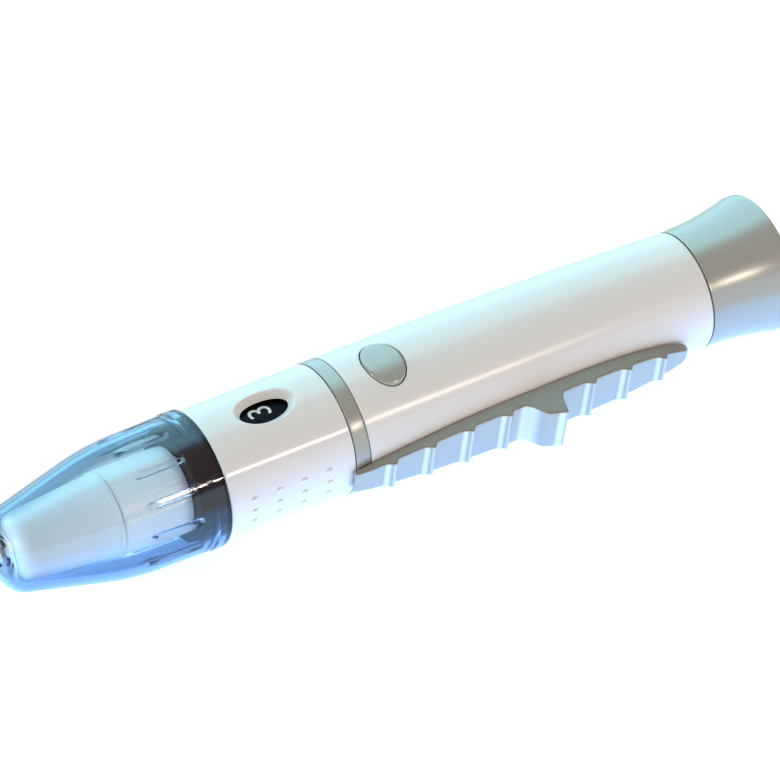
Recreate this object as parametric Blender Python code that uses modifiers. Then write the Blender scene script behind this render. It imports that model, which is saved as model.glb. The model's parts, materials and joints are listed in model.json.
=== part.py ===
"""Lancing device: a pen with a clear end cap, a depth sleeve, a trigger button,
a ribbed ejector slide and a flared cocking knob, lying as it comes to rest.

The pen is modelled about its own axis: local +Z runs towards the knob, local +X
through the window and the button, local +Y through the slide. Z is 0 at the front
face of the barrel. The empty that carries it all lays it along world +X.
"""

import math

import bmesh
import bpy
from mathutils import Matrix, Vector

MM = 0.001

# Facets round the pen and round small shafts
OUTER_STEPS = 36
INNER_STEPS = 24
SMALL_STEPS = 16
OVAL_STEPS = 32
ARC_STEPS = 2
SHARP_ANGLE = math.radians(35)
WELD = 0.001 * MM

# Clearances
RUN_GAP = 0.12 * MM
SEAT_GAP = 0.1 * MM
SHAFT_GAP = 0.15 * MM
EDGE_ROUND = 0.25 * MM
CUT_MARGIN = 1.0 * MM

# Barrel
BARREL_LENGTH = 46.7 * MM
BARREL_RADIUS = 8.0 * MM
BARREL_BELLY_AT = 5.0 * MM
BARREL_TAPER = 0.8 * MM
BARREL_WALL = 1.7 * MM
BARREL_RINGS = 8

# Trim ring, depth sleeve and the drum inside it
TRIM_LENGTH = 1.8 * MM
TRIM_STEP = 0.05 * MM
SLEEVE_LENGTH = 15.9 * MM
SLEEVE_STEP = 0.1 * MM
SLEEVE_TAPER = 0.1 * MM
SLEEVE_WALL = 0.95 * MM
DRUM_NUMBER_DEPTH = 0.55 * MM
DRUM_WALL = 0.9 * MM
DRUM_REAR_LAND = 2.2 * MM
DRUM_FRONT_LAND = 2.4 * MM
COLLAR_LENGTH = 3.15 * MM
COLLAR_WALL = 0.8 * MM
CLICK_RING_LENGTH = 1.2 * MM
CLICK_RING_SET_BACK = 1.1 * MM
CLICK_RING_SLOT = 2.0 * MM

# Window and grip dots of the sleeve
WINDOW_SET_BACK = 7.6 * MM
WINDOW_LENGTH = 6.4 * MM
WINDOW_WIDTH = 3.9 * MM
WINDOW_FLARE = 0.45 * MM
DOT_FIRST = 3.4 * MM
DOT_PITCH = 3.2 * MM
DOT_COLUMNS = 4
DOT_ANGLES = (71.0, 83.0, 95.0)
DOT_RADIUS = 0.48 * MM
DOT_HEIGHT = 0.22 * MM

# Clear end cap and its white liner
CAP_LENGTH = 25.3 * MM
CAP_BASE_WALL = 0.98 * MM
CAP_RIM_STEP = 0.1 * MM
CAP_RIM_LENGTH = 1.6 * MM
CAP_BASE_STEP = 0.3 * MM
CAP_KNEE_STEP = 0.18 * MM
CAP_KNEE_SET_BACK = 14.1 * MM
CAP_KNEE_ROUND = 30.0 * MM
CAP_NOSE_RADIUS = 4.5 * MM
CAP_NOSE_ROUND = 1.3 * MM
CAP_WALL = 1.0 * MM
CAP_NOSE_WALL = 1.15 * MM
CAP_HOLE = 1.3 * MM
CAP_RIBS = 12
CAP_RIB_LENGTH = 6.6 * MM
CAP_RIB_HEIGHT = 0.75 * MM
CAP_RIB_WIDTH = 0.7 * MM
CAP_RIB_ROOT = 0.25 * MM
LINER_REAR_RADIUS = 4.95 * MM
LINER_FRONT_RADIUS = 3.8 * MM
LINER_NOSE_ROUND = 0.7 * MM
LINER_WALL = 0.75 * MM
LINER_HOLE = 1.2 * MM
LINER_BEAD = 0.5 * MM

# Nose tube, lancet carrier and plunger rod
NOSE_TUBE_REACH = 6.7 * MM
NOSE_TUBE_RADIUS = 4.2 * MM
NOSE_TUBE_OVERLAP = 12.5 * MM
NOSE_TUBE_WALL = 0.8 * MM
NOSE_RIBS = 12
NOSE_RIB_HEIGHT = 0.22 * MM
NOSE_RIB_WIDTH = 0.6 * MM
CARRIER_RADIUS = 3.3 * MM
CARRIER_SOCKET = 2.55 * MM
CARRIER_SET_BACK = 0.7 * MM
CARRIER_LENGTH = 14.5 * MM
CARRIER_FLOOR = 2.0 * MM
CARRIER_FLANGE_RISE = 0.15 * MM
CARRIER_FLANGE_LENGTH = 0.8 * MM
CARRIER_SLOT = 1.8 * MM
ROD_RADIUS = 1.5 * MM
ROD_GRIP = 1.0 * MM
CATCH_AT = 12.0 * MM
CATCH_LENGTH = 8.5 * MM
CATCH_RADIUS = 2.2 * MM
ROD_COLLAR_RADIUS = 2.6 * MM
ROD_COLLAR_LENGTH = 1.2 * MM
COCK_TRAVEL = 6.7 * MM

# Chassis
CHASSIS_WALL = 1.2 * MM
CHASSIS_FRONT_WALL = 0.8 * MM
BULKHEAD_AT = 1.0 * MM
BULKHEAD_LENGTH = 1.2 * MM

# Trigger button, sear lever and their pin
BUTTON_AT = 5.4 * MM
BUTTON_LENGTH = 5.0 * MM
BUTTON_WIDTH = 6.6 * MM
BUTTON_CROWN = 0.3 * MM
BUTTON_CROWN_ROUND = 14.0 * MM
BUTTON_CROWN_RINGS = 8
BUTTON_FOOT_DEPTH = 1.0 * MM
BUTTON_FOOT_LAP = 0.6 * MM
BUTTON_FOOT_WIDTH = 4.8 * MM
BUTTON_STEM = 0.9 * MM
BUTTON_STEM_LENGTH = 0.25 * MM
BUTTON_TRAVEL = 0.7 * MM
SEAR_PIVOT_AT = 9.5 * MM
SEAR_PIVOT_DROP = 0.15 * MM
SEAR_THICKNESS = 2.4 * MM
SEAR_ARM = 1.0 * MM
SEAR_BOSS_ROOM = 0.32 * MM
SEAR_BOSS_STEP = 0.12 * MM
SEAR_PAD_LENGTH = 2.4 * MM
SEAR_TOOTH = 0.8 * MM
SEAR_PIN_RADIUS = 0.5 * MM
SEAR_PIN_SET_BACK = 1.6 * MM
SEAR_PIN_GAP = 0.08 * MM
SEAR_SPRING_AT = 14.5 * MM

# Cocking knob, its stem, screw, end plate and bush
KNOB_LENGTH = 10.6 * MM
KNOB_RISE = 1.15 * MM
KNOB_RIM_LENGTH = 0.9 * MM
KNOB_FLARE = 1.6
KNOB_WALL = 1.1 * MM
KNOB_FRONT_WALL = 1.5 * MM
KNOB_RINGS = 6
KNOB_GAP = 0.2 * MM
END_PLATE_THICKNESS = 0.9 * MM
END_PLATE_SET_IN = 0.2 * MM
END_PLATE_LEDGE = 0.3 * MM
STEM_FRONT = 30.0 * MM
STEM_SET_IN = 0.1 * MM
STEM_FLANGE_GAP = 0.25 * MM
STEM_LIP = 1.0 * MM
STEM_PLUG = 6.4 * MM
BUSH_LENGTH = 2.8 * MM
BUSH_SET_IN = 0.2 * MM
SCREW_RADIUS = 0.95 * MM
SCREW_HEAD_RADIUS = 2.2 * MM
SCREW_HEAD_LENGTH = 1.4 * MM
SCREW_REACH = 4.5 * MM
SCREW_CROSS_REACH = 1.3 * MM
SCREW_CROSS_WIDTH = 0.5 * MM

# Ejector slide with its ribs and thumb hook
SLIDE_FRONT = -1.9 * MM
SLIDE_REAR = 43.0 * MM
SLIDE_HALF_WIDTH = 2.9 * MM
SLIDE_FRONT_HALF_WIDTH = 1.5 * MM
SLIDE_WIDEST_FROM = 18.0 * MM
SLIDE_WIDEST_TO = 24.0 * MM
SLIDE_CLEARANCE = 0.25 * MM
SLIDE_FRONT_HEIGHT = 0.95 * MM
SLIDE_MID_HEIGHT = 1.5 * MM
SLIDE_REAR_HEIGHT = 1.6 * MM
SLIDE_NOSE_HEIGHT = 0.4 * MM
SLIDE_END_ROUND = 1.2 * MM
SLIDE_EDGE_ROUND = 0.14 * MM
SLIDE_FRONT_TAPER = 1.7
SLIDE_REAR_TAPER = 2.4
SLIDE_PLAN_STEPS = 7
SLIDE_UNDER_RINGS = 8
RIB_PITCH = 5.0 * MM
RIB_HEIGHT = 0.42 * MM
RIB_RAMP = 1.5 * MM
RIB_FALL = 0.2 * MM
RIB_HOLLOW = 1.8
RIB_POINTS = 3
FRONT_RIB_AT = 1.8 * MM
FRONT_RIBS = 4
REAR_RIB_AT = 28.7 * MM
REAR_RIBS = 3
HOOK_AT = 24.4 * MM
HOOK_HEIGHT = 4.3 * MM
HOOK_RAMP = 6.0 * MM
HOOK_FLAT = 0.9 * MM
HOOK_HOLLOW = 2.2
HOOK_POINTS = 6
EJECT_TRAVEL = 5.0 * MM
LUG_AT = 23.0 * MM
LUG_LENGTH = 4.0 * MM
LUG_WIDTH = 1.8 * MM

# Ejector pusher inside the chassis
RAIL_HEIGHT = 0.65 * MM
RAIL_WIDTH = 1.2 * MM
RAIL_REAR = 26.0 * MM
PRONG_LENGTH = 0.8 * MM
PRONG_TIP = 0.9 * MM
RAIL_TAB_AT = 13.1 * MM
RAIL_TAB_LENGTH = 0.9 * MM

# Springs: mean radius, wire radius and turns
DRIVE_MEAN = 2.6 * MM
DRIVE_WIRE = 0.3 * MM
DRIVE_TURNS = 7
RETURN_MEAN = 1.93 * MM
RETURN_WIRE = 0.15 * MM
RETURN_TURNS = 5
KNOB_MEAN_DROP = 0.15 * MM
KNOB_WIRE = 0.22 * MM
KNOB_TURNS = 6
SEAR_MEAN = 0.7 * MM
SEAR_WIRE = 0.12 * MM
SEAR_TURNS = 3
EJECTOR_WIRE = 0.1 * MM
EJECTOR_WIRE_GAP = 0.115 * MM
EJECTOR_TURNS = 6
COIL_POINTS = 8

# Radii that follow from the barrel's, step by step
BARREL_REAR_RADIUS = BARREL_RADIUS - BARREL_TAPER
BARREL_BORE = BARREL_RADIUS - BARREL_WALL
TRIM_RADIUS = BARREL_RADIUS - TRIM_STEP
SLEEVE_REAR_RADIUS = BARREL_RADIUS - SLEEVE_STEP
SLEEVE_FRONT_RADIUS = SLEEVE_REAR_RADIUS - SLEEVE_TAPER
SLEEVE_BORE = SLEEVE_REAR_RADIUS - SLEEVE_WALL
DRUM_NUMBER_RADIUS = SLEEVE_BORE - DRUM_NUMBER_DEPTH
DRUM_BORE = DRUM_NUMBER_RADIUS - DRUM_WALL
CAP_BASE_RADIUS = SLEEVE_FRONT_RADIUS + CAP_BASE_STEP
CAP_RIM_RADIUS = CAP_BASE_RADIUS + CAP_RIM_STEP
CAP_KNEE_RADIUS = CAP_BASE_RADIUS - CAP_KNEE_STEP
CAP_BORE = CAP_BASE_RADIUS - CAP_BASE_WALL
KNOB_FRONT_RADIUS = BARREL_REAR_RADIUS
KNOB_RIM_RADIUS = KNOB_FRONT_RADIUS + KNOB_RISE
HOOK_RADIUS = BARREL_RADIUS + HOOK_HEIGHT
CHASSIS_RADIUS = BARREL_BORE - SEAT_GAP
CHASSIS_BORE = CHASSIS_RADIUS - CHASSIS_WALL
INNER_BORE = DRUM_BORE - SEAT_GAP - CHASSIS_FRONT_WALL
CARRIER_FLANGE_RADIUS = (CARRIER_RADIUS + INNER_BORE) / 2 + CARRIER_FLANGE_RISE
BUTTON_FOOT_AT = BARREL_BORE - BUTTON_FOOT_DEPTH
SEAR_PIVOT_HEIGHT = (BUTTON_FOOT_AT + CATCH_RADIUS) / 2 - SEAR_PIVOT_DROP
SEAR_BOSS = SEAR_PIVOT_HEIGHT - RETURN_MEAN - RETURN_WIRE - SEAR_BOSS_ROOM
SEAR_PIN_REACH = CHASSIS_RADIUS - SEAR_PIN_SET_BACK
STEM_RADIUS = (ROD_COLLAR_RADIUS + CHASSIS_BORE) / 2 - STEM_SET_IN
STEM_FLANGE_RADIUS = CHASSIS_BORE - STEM_FLANGE_GAP
KNOB_MEAN = (STEM_RADIUS + CHASSIS_BORE) / 2 - KNOB_MEAN_DROP

# Places along the axis that follow from the sizes above
TRIM_REAR = -SEAT_GAP
TRIM_FRONT = TRIM_REAR - TRIM_LENGTH
SLEEVE_REAR = TRIM_FRONT - RUN_GAP
SLEEVE_FRONT = SLEEVE_REAR - SLEEVE_LENGTH
COLLAR_REAR = SLEEVE_FRONT - RUN_GAP
COLLAR_FRONT = COLLAR_REAR - COLLAR_LENGTH
CAP_REAR = SLEEVE_FRONT - RUN_GAP
CAP_FRONT = CAP_REAR - CAP_LENGTH
WINDOW_AT = SLEEVE_REAR - WINDOW_SET_BACK
DRUM_LAND_FRONT = TRIM_REAR - DRUM_REAR_LAND
DRUM_LAND_RADIUS = SLEEVE_BORE - RUN_GAP
COLLAR_RADIUS = CAP_BORE - RUN_GAP
NOSE_FRONT = COLLAR_FRONT - NOSE_TUBE_REACH
NOSE_SHOULDER = COLLAR_FRONT + COLLAR_WALL + SEAT_GAP
NOSE_REAR = NOSE_SHOULDER + NOSE_TUBE_OVERLAP
CHASSIS_FRONT = NOSE_REAR + SEAT_GAP
LINER_REAR = NOSE_FRONT - SEAT_GAP
LINER_FRONT = CAP_FRONT + CAP_NOSE_WALL + SEAT_GAP
CARRIER_FRONT = NOSE_FRONT + CARRIER_SET_BACK
CARRIER_REAR = CARRIER_FRONT + CARRIER_LENGTH
BULKHEAD_REAR = BULKHEAD_AT + BULKHEAD_LENGTH
ROD_BORE = ROD_RADIUS + SHAFT_GAP
BUSH_REAR = BARREL_LENGTH - BUSH_SET_IN
BUSH_FRONT = BUSH_REAR - BUSH_LENGTH
CHASSIS_REAR = BUSH_FRONT - SEAT_GAP
KNOB_FRONT = BARREL_LENGTH + KNOB_GAP
KNOB_REAR = KNOB_FRONT + KNOB_LENGTH
STEM_REAR = KNOB_FRONT - SEAT_GAP
STEM_BORE = ROD_COLLAR_RADIUS + SHAFT_GAP
STEM_BORE_REAR = STEM_REAR - STEM_PLUG
ROD_COLLAR_FRONT = STEM_FRONT + STEM_LIP + SHAFT_GAP
ROD_REAR = ROD_COLLAR_FRONT + ROD_COLLAR_LENGTH
SEAR_TOOTH_REAR = CATCH_AT + COCK_TRAVEL - SHAFT_GAP
BUTTON_FOOT_BOTTOM = BUTTON_FOOT_AT - BUTTON_STEM_LENGTH
RAIL_TOP = INNER_BORE - RUN_GAP
RAIL_BOTTOM = RAIL_TOP - RAIL_HEIGHT
EJECTOR_MEAN = (RAIL_BOTTOM - CATCH_RADIUS) / 2 - EJECTOR_WIRE - EJECTOR_WIRE_GAP
CARRIER_FLOOR_FRONT = CARRIER_REAR - CARRIER_FLOOR
PRONG_REAR = CARRIER_FLOOR_FRONT - SHAFT_GAP
LUG_FOOT = RAIL_TOP + SHAFT_GAP

PARTS = "lancing_device"
CUTTERS = "cutters"

# Finishes: colour, roughness, metallic value and transmission
FINISHES = {
    "clear": ((0.62, 0.80, 0.95), 0.05, 0.0, 0.9),
    "white": ((0.86, 0.86, 0.88), 0.25, 0.0, 0.0),
    "black": ((0.02, 0.02, 0.025), 0.2, 0.0, 0.0),
    "silver": ((0.55, 0.56, 0.53), 0.35, 0.4, 0.0),
    "natural": ((0.75, 0.75, 0.72), 0.4, 0.0, 0.0),
    "steel": ((0.6, 0.6, 0.6), 0.3, 1.0, 0.0),
}

# Matrices that take a flat outline (along, height) to the pen's own axes
SIDE_OF_SLIDE = Matrix(((0, 0, -1, 0), (0, 1, 0, 0), (1, 0, 0, 0), (0, 0, 0, 1)))
SIDE_OF_BUTTON = Matrix(((0, 1, 0, 0), (0, 0, 1, 0), (1, 0, 0, 0), (0, 0, 0, 1)))
ALONG_BUTTON = Matrix.Rotation(math.radians(90), 4, "Y")
ALONG_SLIDE = Matrix.Rotation(math.radians(-90), 4, "X")


# Scene and small helpers


def clear_scene():
    for obj in list(bpy.data.objects):
        bpy.data.objects.remove(obj)
    for name in (PARTS, CUTTERS):
        collection = bpy.data.collections.new(name)
        bpy.context.scene.collection.children.link(collection)
    bpy.data.collections[CUTTERS].hide_render = True


def make_material(name, finish):
    colour, roughness, metallic, transmission = FINISHES[finish]
    material = bpy.data.materials.new(f"{name}_{finish}")
    material.use_nodes = True
    shader = material.node_tree.nodes["Principled BSDF"]
    shader.inputs["Base Color"].default_value = (*colour, 1.0)
    shader.inputs["Roughness"].default_value = roughness
    shader.inputs["Metallic"].default_value = metallic
    shader.inputs["Transmission Weight"].default_value = transmission
    return material


def add_object(name, data, finish=None, cutter=False):
    obj = bpy.data.objects.new(name, data)
    bpy.data.collections[CUTTERS if cutter else PARTS].objects.link(obj)
    obj.parent = bpy.data.objects["pen_axis"]
    if finish:
        data.materials.append(make_material(name, finish))
    if cutter:
        obj.hide_render = True
        obj.display_type = "WIRE"
    return obj


def solid_mesh(obj, finish=None):
    """Replace an object by a plain mesh object of its evaluated, welded shape."""
    bpy.context.view_layer.update()
    graph = bpy.context.evaluated_depsgraph_get()
    mesh = bpy.data.meshes.new_from_object(obj.evaluated_get(graph))
    name, cutter = obj.name, obj.hide_render
    matrix = obj.matrix_basis.copy()
    bpy.data.objects.remove(obj)
    mesh.transform(matrix)
    work = bmesh.new()
    work.from_mesh(mesh)
    bmesh.ops.remove_doubles(work, verts=work.verts, dist=WELD)
    bmesh.ops.recalc_face_normals(work, faces=work.faces)
    work.to_mesh(mesh)
    work.free()
    mesh.materials.clear()
    mesh.shade_smooth()
    mesh.set_sharp_from_angle(angle=SHARP_ANGLE)
    return add_object(name, mesh, finish, cutter)


def spread(start, end, steps):
    """Evenly spaced values from start to end, with both ends."""
    return [start + (end - start) * i / steps for i in range(steps + 1)]


def rounded(corners):
    """Outline through (x, y) corners. A corner with a third value, a radius, is an arc."""
    points = []
    count = len(corners)
    for i, corner in enumerate(corners):
        here = Vector(corner[:2])
        if len(corner) < 3 or corner[2] == 0:
            points.append(here)
            continue
        before = (Vector(corners[i - 1][:2]) - here).normalized()
        after = (Vector(corners[(i + 1) % count][:2]) - here).normalized()
        half = before.angle(after) / 2
        reach = corner[2] / math.tan(half)
        centre = here + (before + after).normalized() * corner[2] / math.sin(half)
        start = here + before * reach - centre
        turn = (here + after * reach - centre).angle_signed(start)
        for step in range(ARC_STEPS + 1):
            arm = start.copy()
            arm.rotate(Matrix.Rotation(turn * step / ARC_STEPS, 2))
            points.append(centre + arm)
    return points


def turned(name, corners, finish=None, steps=INNER_STEPS, cutter=False):
    """Turn a profile of (radius, z) corners about Z: down the outside, up the bore."""
    points = rounded(corners)
    closed = min(p[0] for p in points) > WELD
    edges = [(i, i + 1) for i in range(len(points) - 1)]
    if closed:
        edges.append((len(points) - 1, 0))
    mesh = bpy.data.meshes.new(name)
    mesh.from_pydata([(p[0], 0, p[1]) for p in points], edges, [])
    obj = add_object(name, mesh, cutter=cutter)
    screw = obj.modifiers.new("turn", "SCREW")
    screw.axis = "Z"
    screw.angle = math.tau
    screw.steps = screw.render_steps = steps
    screw.use_merge_vertices = True
    screw.merge_threshold = WELD
    return solid_mesh(obj, finish)


def plate(name, points, thickness, matrix, finish=None, cutter=False):
    """A flat outline, thickened evenly to both sides of its plane."""
    curve = bpy.data.curves.new(name, "CURVE")
    curve.dimensions = "2D"
    curve.fill_mode = "BOTH"
    curve.extrude = thickness / 2
    spline = curve.splines.new("POLY")
    spline.points.add(len(points) - 1)
    for point, place in zip(spline.points, points):
        point.co = (place[0], place[1], 0, 1)
    spline.use_cyclic_u = True
    obj = add_object(name, curve, cutter=cutter)
    obj.matrix_basis = matrix
    return solid_mesh(obj, finish)


def box(name, low, high, finish=None, cutter=False):
    mesh = bpy.data.meshes.new(name)
    work = bmesh.new()
    bmesh.ops.create_cube(work, size=1)
    work.to_mesh(mesh)
    work.free()
    low, high = Vector(low), Vector(high)
    mesh.transform(Matrix.Translation((low + high) / 2) @ Matrix.Diagonal((*(high - low), 1)))
    return add_object(name, mesh, finish, cutter)


def cylinder(
    name, radius, length, matrix, steps=SMALL_STEPS, top_radius=None, finish=None, cutter=False
):
    """A cylinder or cone about the matrix's own Z, centred on its place."""
    mesh = bpy.data.meshes.new(name)
    work = bmesh.new()
    bmesh.ops.create_cone(
        work,
        cap_ends=True,
        segments=steps,
        radius1=radius,
        radius2=radius if top_radius is None else top_radius,
        depth=length,
    )
    work.to_mesh(mesh)
    work.free()
    mesh.transform(matrix)
    mesh.shade_smooth()
    mesh.set_sharp_from_angle(angle=SHARP_ANGLE)
    return add_object(name, mesh, finish, cutter)


def join_or_cut(obj, other, operation):
    boolean = obj.modifiers.new(other.name, "BOOLEAN")
    boolean.operation = operation
    boolean.object = other


def coil(name, mean, wire, turns, start, end, finish, matrix=None):
    """A compression spring about Z from start to end."""
    low, high = start + wire, end - wire
    curve = bpy.data.curves.new(name, "CURVE")
    curve.dimensions = "3D"
    curve.bevel_depth = wire
    curve.bevel_resolution = 1
    curve.use_fill_caps = True
    spline = curve.splines.new("POLY")
    count = turns * COIL_POINTS + 1
    spline.points.add(count - 1)
    for i, point in enumerate(spline.points):
        angle = math.tau * i / COIL_POINTS
        height = low + (high - low) * i / (count - 1)
        point.co = (mean * math.cos(angle), mean * math.sin(angle), height, 1)
    obj = add_object(name, curve)
    if matrix:
        obj.matrix_basis = matrix
    return solid_mesh(obj, finish)


# Forms that several pieces share


def barrel_radius(z):
    share = (z - BARREL_BELLY_AT) / (BARREL_LENGTH - BARREL_BELLY_AT)
    return BARREL_RADIUS - (BARREL_RADIUS - BARREL_REAR_RADIUS) * share**2


def cap_outline(inset, front):
    """Corners of the cap's outside, or of a wall inset from it, from rear to front."""
    knee = CAP_FRONT + CAP_KNEE_SET_BACK
    slope = (CAP_KNEE_RADIUS - CAP_NOSE_RADIUS) / CAP_KNEE_SET_BACK
    nose = CAP_NOSE_RADIUS + slope * (front - CAP_FRONT)
    nose_round = max(CAP_NOSE_ROUND - inset, EDGE_ROUND)
    return [
        (CAP_KNEE_RADIUS - inset, knee, CAP_KNEE_ROUND),
        (nose - inset, front, nose_round),
    ]


def liner_radius(z):
    share = (z - LINER_FRONT) / (LINER_REAR - LINER_FRONT)
    return LINER_FRONT_RADIUS + (LINER_REAR_RADIUS - LINER_FRONT_RADIUS) * share


# End cap


def make_end_cap(finish):
    rim_front = CAP_REAR - CAP_RIM_LENGTH
    inside = cap_outline(CAP_WALL, CAP_FRONT + CAP_NOSE_WALL)
    corners = [
        (CAP_RIM_RADIUS, CAP_REAR, EDGE_ROUND),
        (CAP_RIM_RADIUS, rim_front, EDGE_ROUND),
        (CAP_BASE_RADIUS, rim_front - EDGE_ROUND),
        *cap_outline(0, CAP_FRONT),
        (CAP_HOLE, CAP_FRONT, EDGE_ROUND),
        (CAP_HOLE, CAP_FRONT + CAP_NOSE_WALL),
        *reversed(inside),
        (CAP_BORE, COLLAR_FRONT),
        (CAP_BORE, CAP_REAR),
    ]
    cap = turned("end_cap", corners, finish, OUTER_STEPS)
    ribs_rear = COLLAR_FRONT - SEAT_GAP
    ribs_front = ribs_rear - CAP_RIB_LENGTH
    for i in range(CAP_RIBS):
        rib = box(
            f"cap_rib_{i + 1}",
            (CAP_BORE - CAP_RIB_HEIGHT - CAP_RIB_ROOT, -CAP_RIB_WIDTH / 2, ribs_front),
            (CAP_BORE, CAP_RIB_WIDTH / 2, ribs_rear),
            cutter=True,
        )
        rib.data.transform(Matrix.Rotation(math.tau * (i + 0.5) / CAP_RIBS, 4, "Z"))
        join_or_cut(cap, rib, "UNION")


def make_cap_liner(finish):
    bead_front = LINER_REAR - LINER_BEAD
    corners = [
        (LINER_REAR_RADIUS, LINER_REAR),
        (LINER_REAR_RADIUS, bead_front),
        (liner_radius(bead_front) - SEAT_GAP, bead_front),
        (LINER_FRONT_RADIUS, LINER_FRONT, LINER_NOSE_ROUND),
        (LINER_HOLE, LINER_FRONT),
        (LINER_HOLE, LINER_FRONT + LINER_WALL),
        (LINER_FRONT_RADIUS - LINER_WALL, LINER_FRONT + LINER_WALL),
        (LINER_REAR_RADIUS - LINER_WALL, LINER_REAR),
    ]
    turned("cap_liner", corners, finish)


# Nose tube, lancet carrier and plunger rod


def make_nose_tube(finish):
    wide = DRUM_BORE - SEAT_GAP
    bore = CARRIER_RADIUS + SHAFT_GAP
    corners = [
        (wide, NOSE_REAR),
        (wide, NOSE_SHOULDER),
        (NOSE_TUBE_RADIUS, NOSE_SHOULDER),
        (NOSE_TUBE_RADIUS, NOSE_FRONT, EDGE_ROUND),
        (bore, NOSE_FRONT),
        (bore, NOSE_SHOULDER + NOSE_TUBE_WALL),
        (INNER_BORE, NOSE_SHOULDER + NOSE_TUBE_WALL),
        (INNER_BORE, NOSE_REAR),
    ]
    tube = turned("nose_tube", corners, finish)
    root = (NOSE_TUBE_RADIUS + bore) / 2
    for i in range(NOSE_RIBS):
        rib = box(
            f"nose_rib_{i + 1}",
            (root, -NOSE_RIB_WIDTH / 2, NOSE_FRONT + 2 * EDGE_ROUND),
            (NOSE_TUBE_RADIUS + NOSE_RIB_HEIGHT, NOSE_RIB_WIDTH / 2, COLLAR_FRONT - EDGE_ROUND),
            cutter=True,
        )
        rib.data.transform(Matrix.Rotation(math.tau * i / NOSE_RIBS, 4, "Z"))
        join_or_cut(tube, rib, "UNION")
    half_rail = RAIL_WIDTH / 2 + SHAFT_GAP
    notch = box(
        "rail_run",
        (-half_rail, bore - SHAFT_GAP, PRONG_REAR - PRONG_LENGTH - EJECT_TRAVEL - SHAFT_GAP),
        (half_rail, RAIL_TOP + SHAFT_GAP, NOSE_SHOULDER + NOSE_TUBE_WALL + SEAT_GAP),
        cutter=True,
    )
    join_or_cut(tube, notch, "DIFFERENCE")


def make_lancet_carrier(finish):
    rod_hole = ROD_RADIUS + SEAT_GAP
    hole_front = CARRIER_REAR - ROD_GRIP
    corners = [
        (0, hole_front),
        (rod_hole, hole_front),
        (rod_hole, CARRIER_REAR),
        (CARRIER_FLANGE_RADIUS, CARRIER_REAR),
        (CARRIER_FLANGE_RADIUS, CARRIER_REAR - CARRIER_FLANGE_LENGTH),
        (CARRIER_RADIUS, CARRIER_REAR - CARRIER_FLANGE_LENGTH),
        (CARRIER_RADIUS, CARRIER_FRONT, EDGE_ROUND),
        (CARRIER_SOCKET, CARRIER_FRONT),
        (CARRIER_SOCKET, CARRIER_FLOOR_FRONT),
        (0, CARRIER_FLOOR_FRONT),
    ]
    carrier = turned("lancet_carrier", corners, finish)
    half_slot = CARRIER_SLOT / 2
    slot = box(
        "carrier_slot",
        (-half_slot, CARRIER_SOCKET / 2, CARRIER_FRONT - CUT_MARGIN),
        (half_slot, CARRIER_FLANGE_RADIUS + CUT_MARGIN, CARRIER_FLOOR_FRONT),
        cutter=True,
    )
    notch = box(
        "carrier_notch",
        (-half_slot, RAIL_BOTTOM - SHAFT_GAP, CARRIER_FLOOR_FRONT - CUT_MARGIN),
        (half_slot, CARRIER_FLANGE_RADIUS + CUT_MARGIN, CARRIER_REAR + CUT_MARGIN),
        cutter=True,
    )
    join_or_cut(carrier, slot, "DIFFERENCE")
    join_or_cut(carrier, notch, "DIFFERENCE")


def make_plunger_rod(finish):
    rod_front = CARRIER_REAR - ROD_GRIP + SEAT_GAP
    corners = [
        (0, ROD_REAR),
        (ROD_COLLAR_RADIUS, ROD_REAR, EDGE_ROUND),
        (ROD_COLLAR_RADIUS, ROD_COLLAR_FRONT),
        (ROD_RADIUS, ROD_COLLAR_FRONT),
        (ROD_RADIUS, CATCH_AT + CATCH_LENGTH),
        (CATCH_RADIUS, CATCH_AT + CATCH_LENGTH - (CATCH_RADIUS - ROD_RADIUS)),
        (CATCH_RADIUS, CATCH_AT),
        (ROD_RADIUS, CATCH_AT),
        (ROD_RADIUS, rod_front),
        (0, rod_front),
    ]
    turned("plunger_rod", corners, finish, SMALL_STEPS)


# Depth drum, sleeve, click ring and trim ring


def make_depth_drum(finish):
    land_front = SLEEVE_FRONT + DRUM_FRONT_LAND
    corners = [
        (DRUM_LAND_RADIUS, TRIM_REAR),
        (DRUM_LAND_RADIUS, DRUM_LAND_FRONT),
        (DRUM_NUMBER_RADIUS, DRUM_LAND_FRONT),
        (DRUM_NUMBER_RADIUS, land_front),
        (DRUM_LAND_RADIUS, land_front),
        (DRUM_LAND_RADIUS, COLLAR_REAR),
        (COLLAR_RADIUS, COLLAR_REAR),
        (COLLAR_RADIUS, COLLAR_FRONT, EDGE_ROUND),
        (NOSE_TUBE_RADIUS + NOSE_RIB_HEIGHT + SEAT_GAP, COLLAR_FRONT),
        (NOSE_TUBE_RADIUS + NOSE_RIB_HEIGHT + SEAT_GAP, COLLAR_FRONT + COLLAR_WALL),
        (DRUM_BORE, COLLAR_FRONT + COLLAR_WALL),
        (DRUM_BORE, TRIM_REAR),
    ]
    turned("depth_drum", corners, finish, OUTER_STEPS)


def make_click_ring(finish):
    rear = DRUM_LAND_FRONT - CLICK_RING_SET_BACK
    front = rear - CLICK_RING_LENGTH
    inner = DRUM_NUMBER_RADIUS + SEAT_GAP
    corners = [
        (DRUM_LAND_RADIUS, rear),
        (DRUM_LAND_RADIUS, front),
        (inner, front),
        (inner, rear),
    ]
    ring = turned("click_ring", corners, finish, OUTER_STEPS)
    half_slot = CLICK_RING_SLOT / 2
    slot = box(
        "click_ring_slot",
        (-half_slot, -SLEEVE_BORE - CUT_MARGIN, front - CUT_MARGIN),
        (half_slot, 0, rear + CUT_MARGIN),
        cutter=True,
    )
    join_or_cut(ring, slot, "DIFFERENCE")


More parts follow.
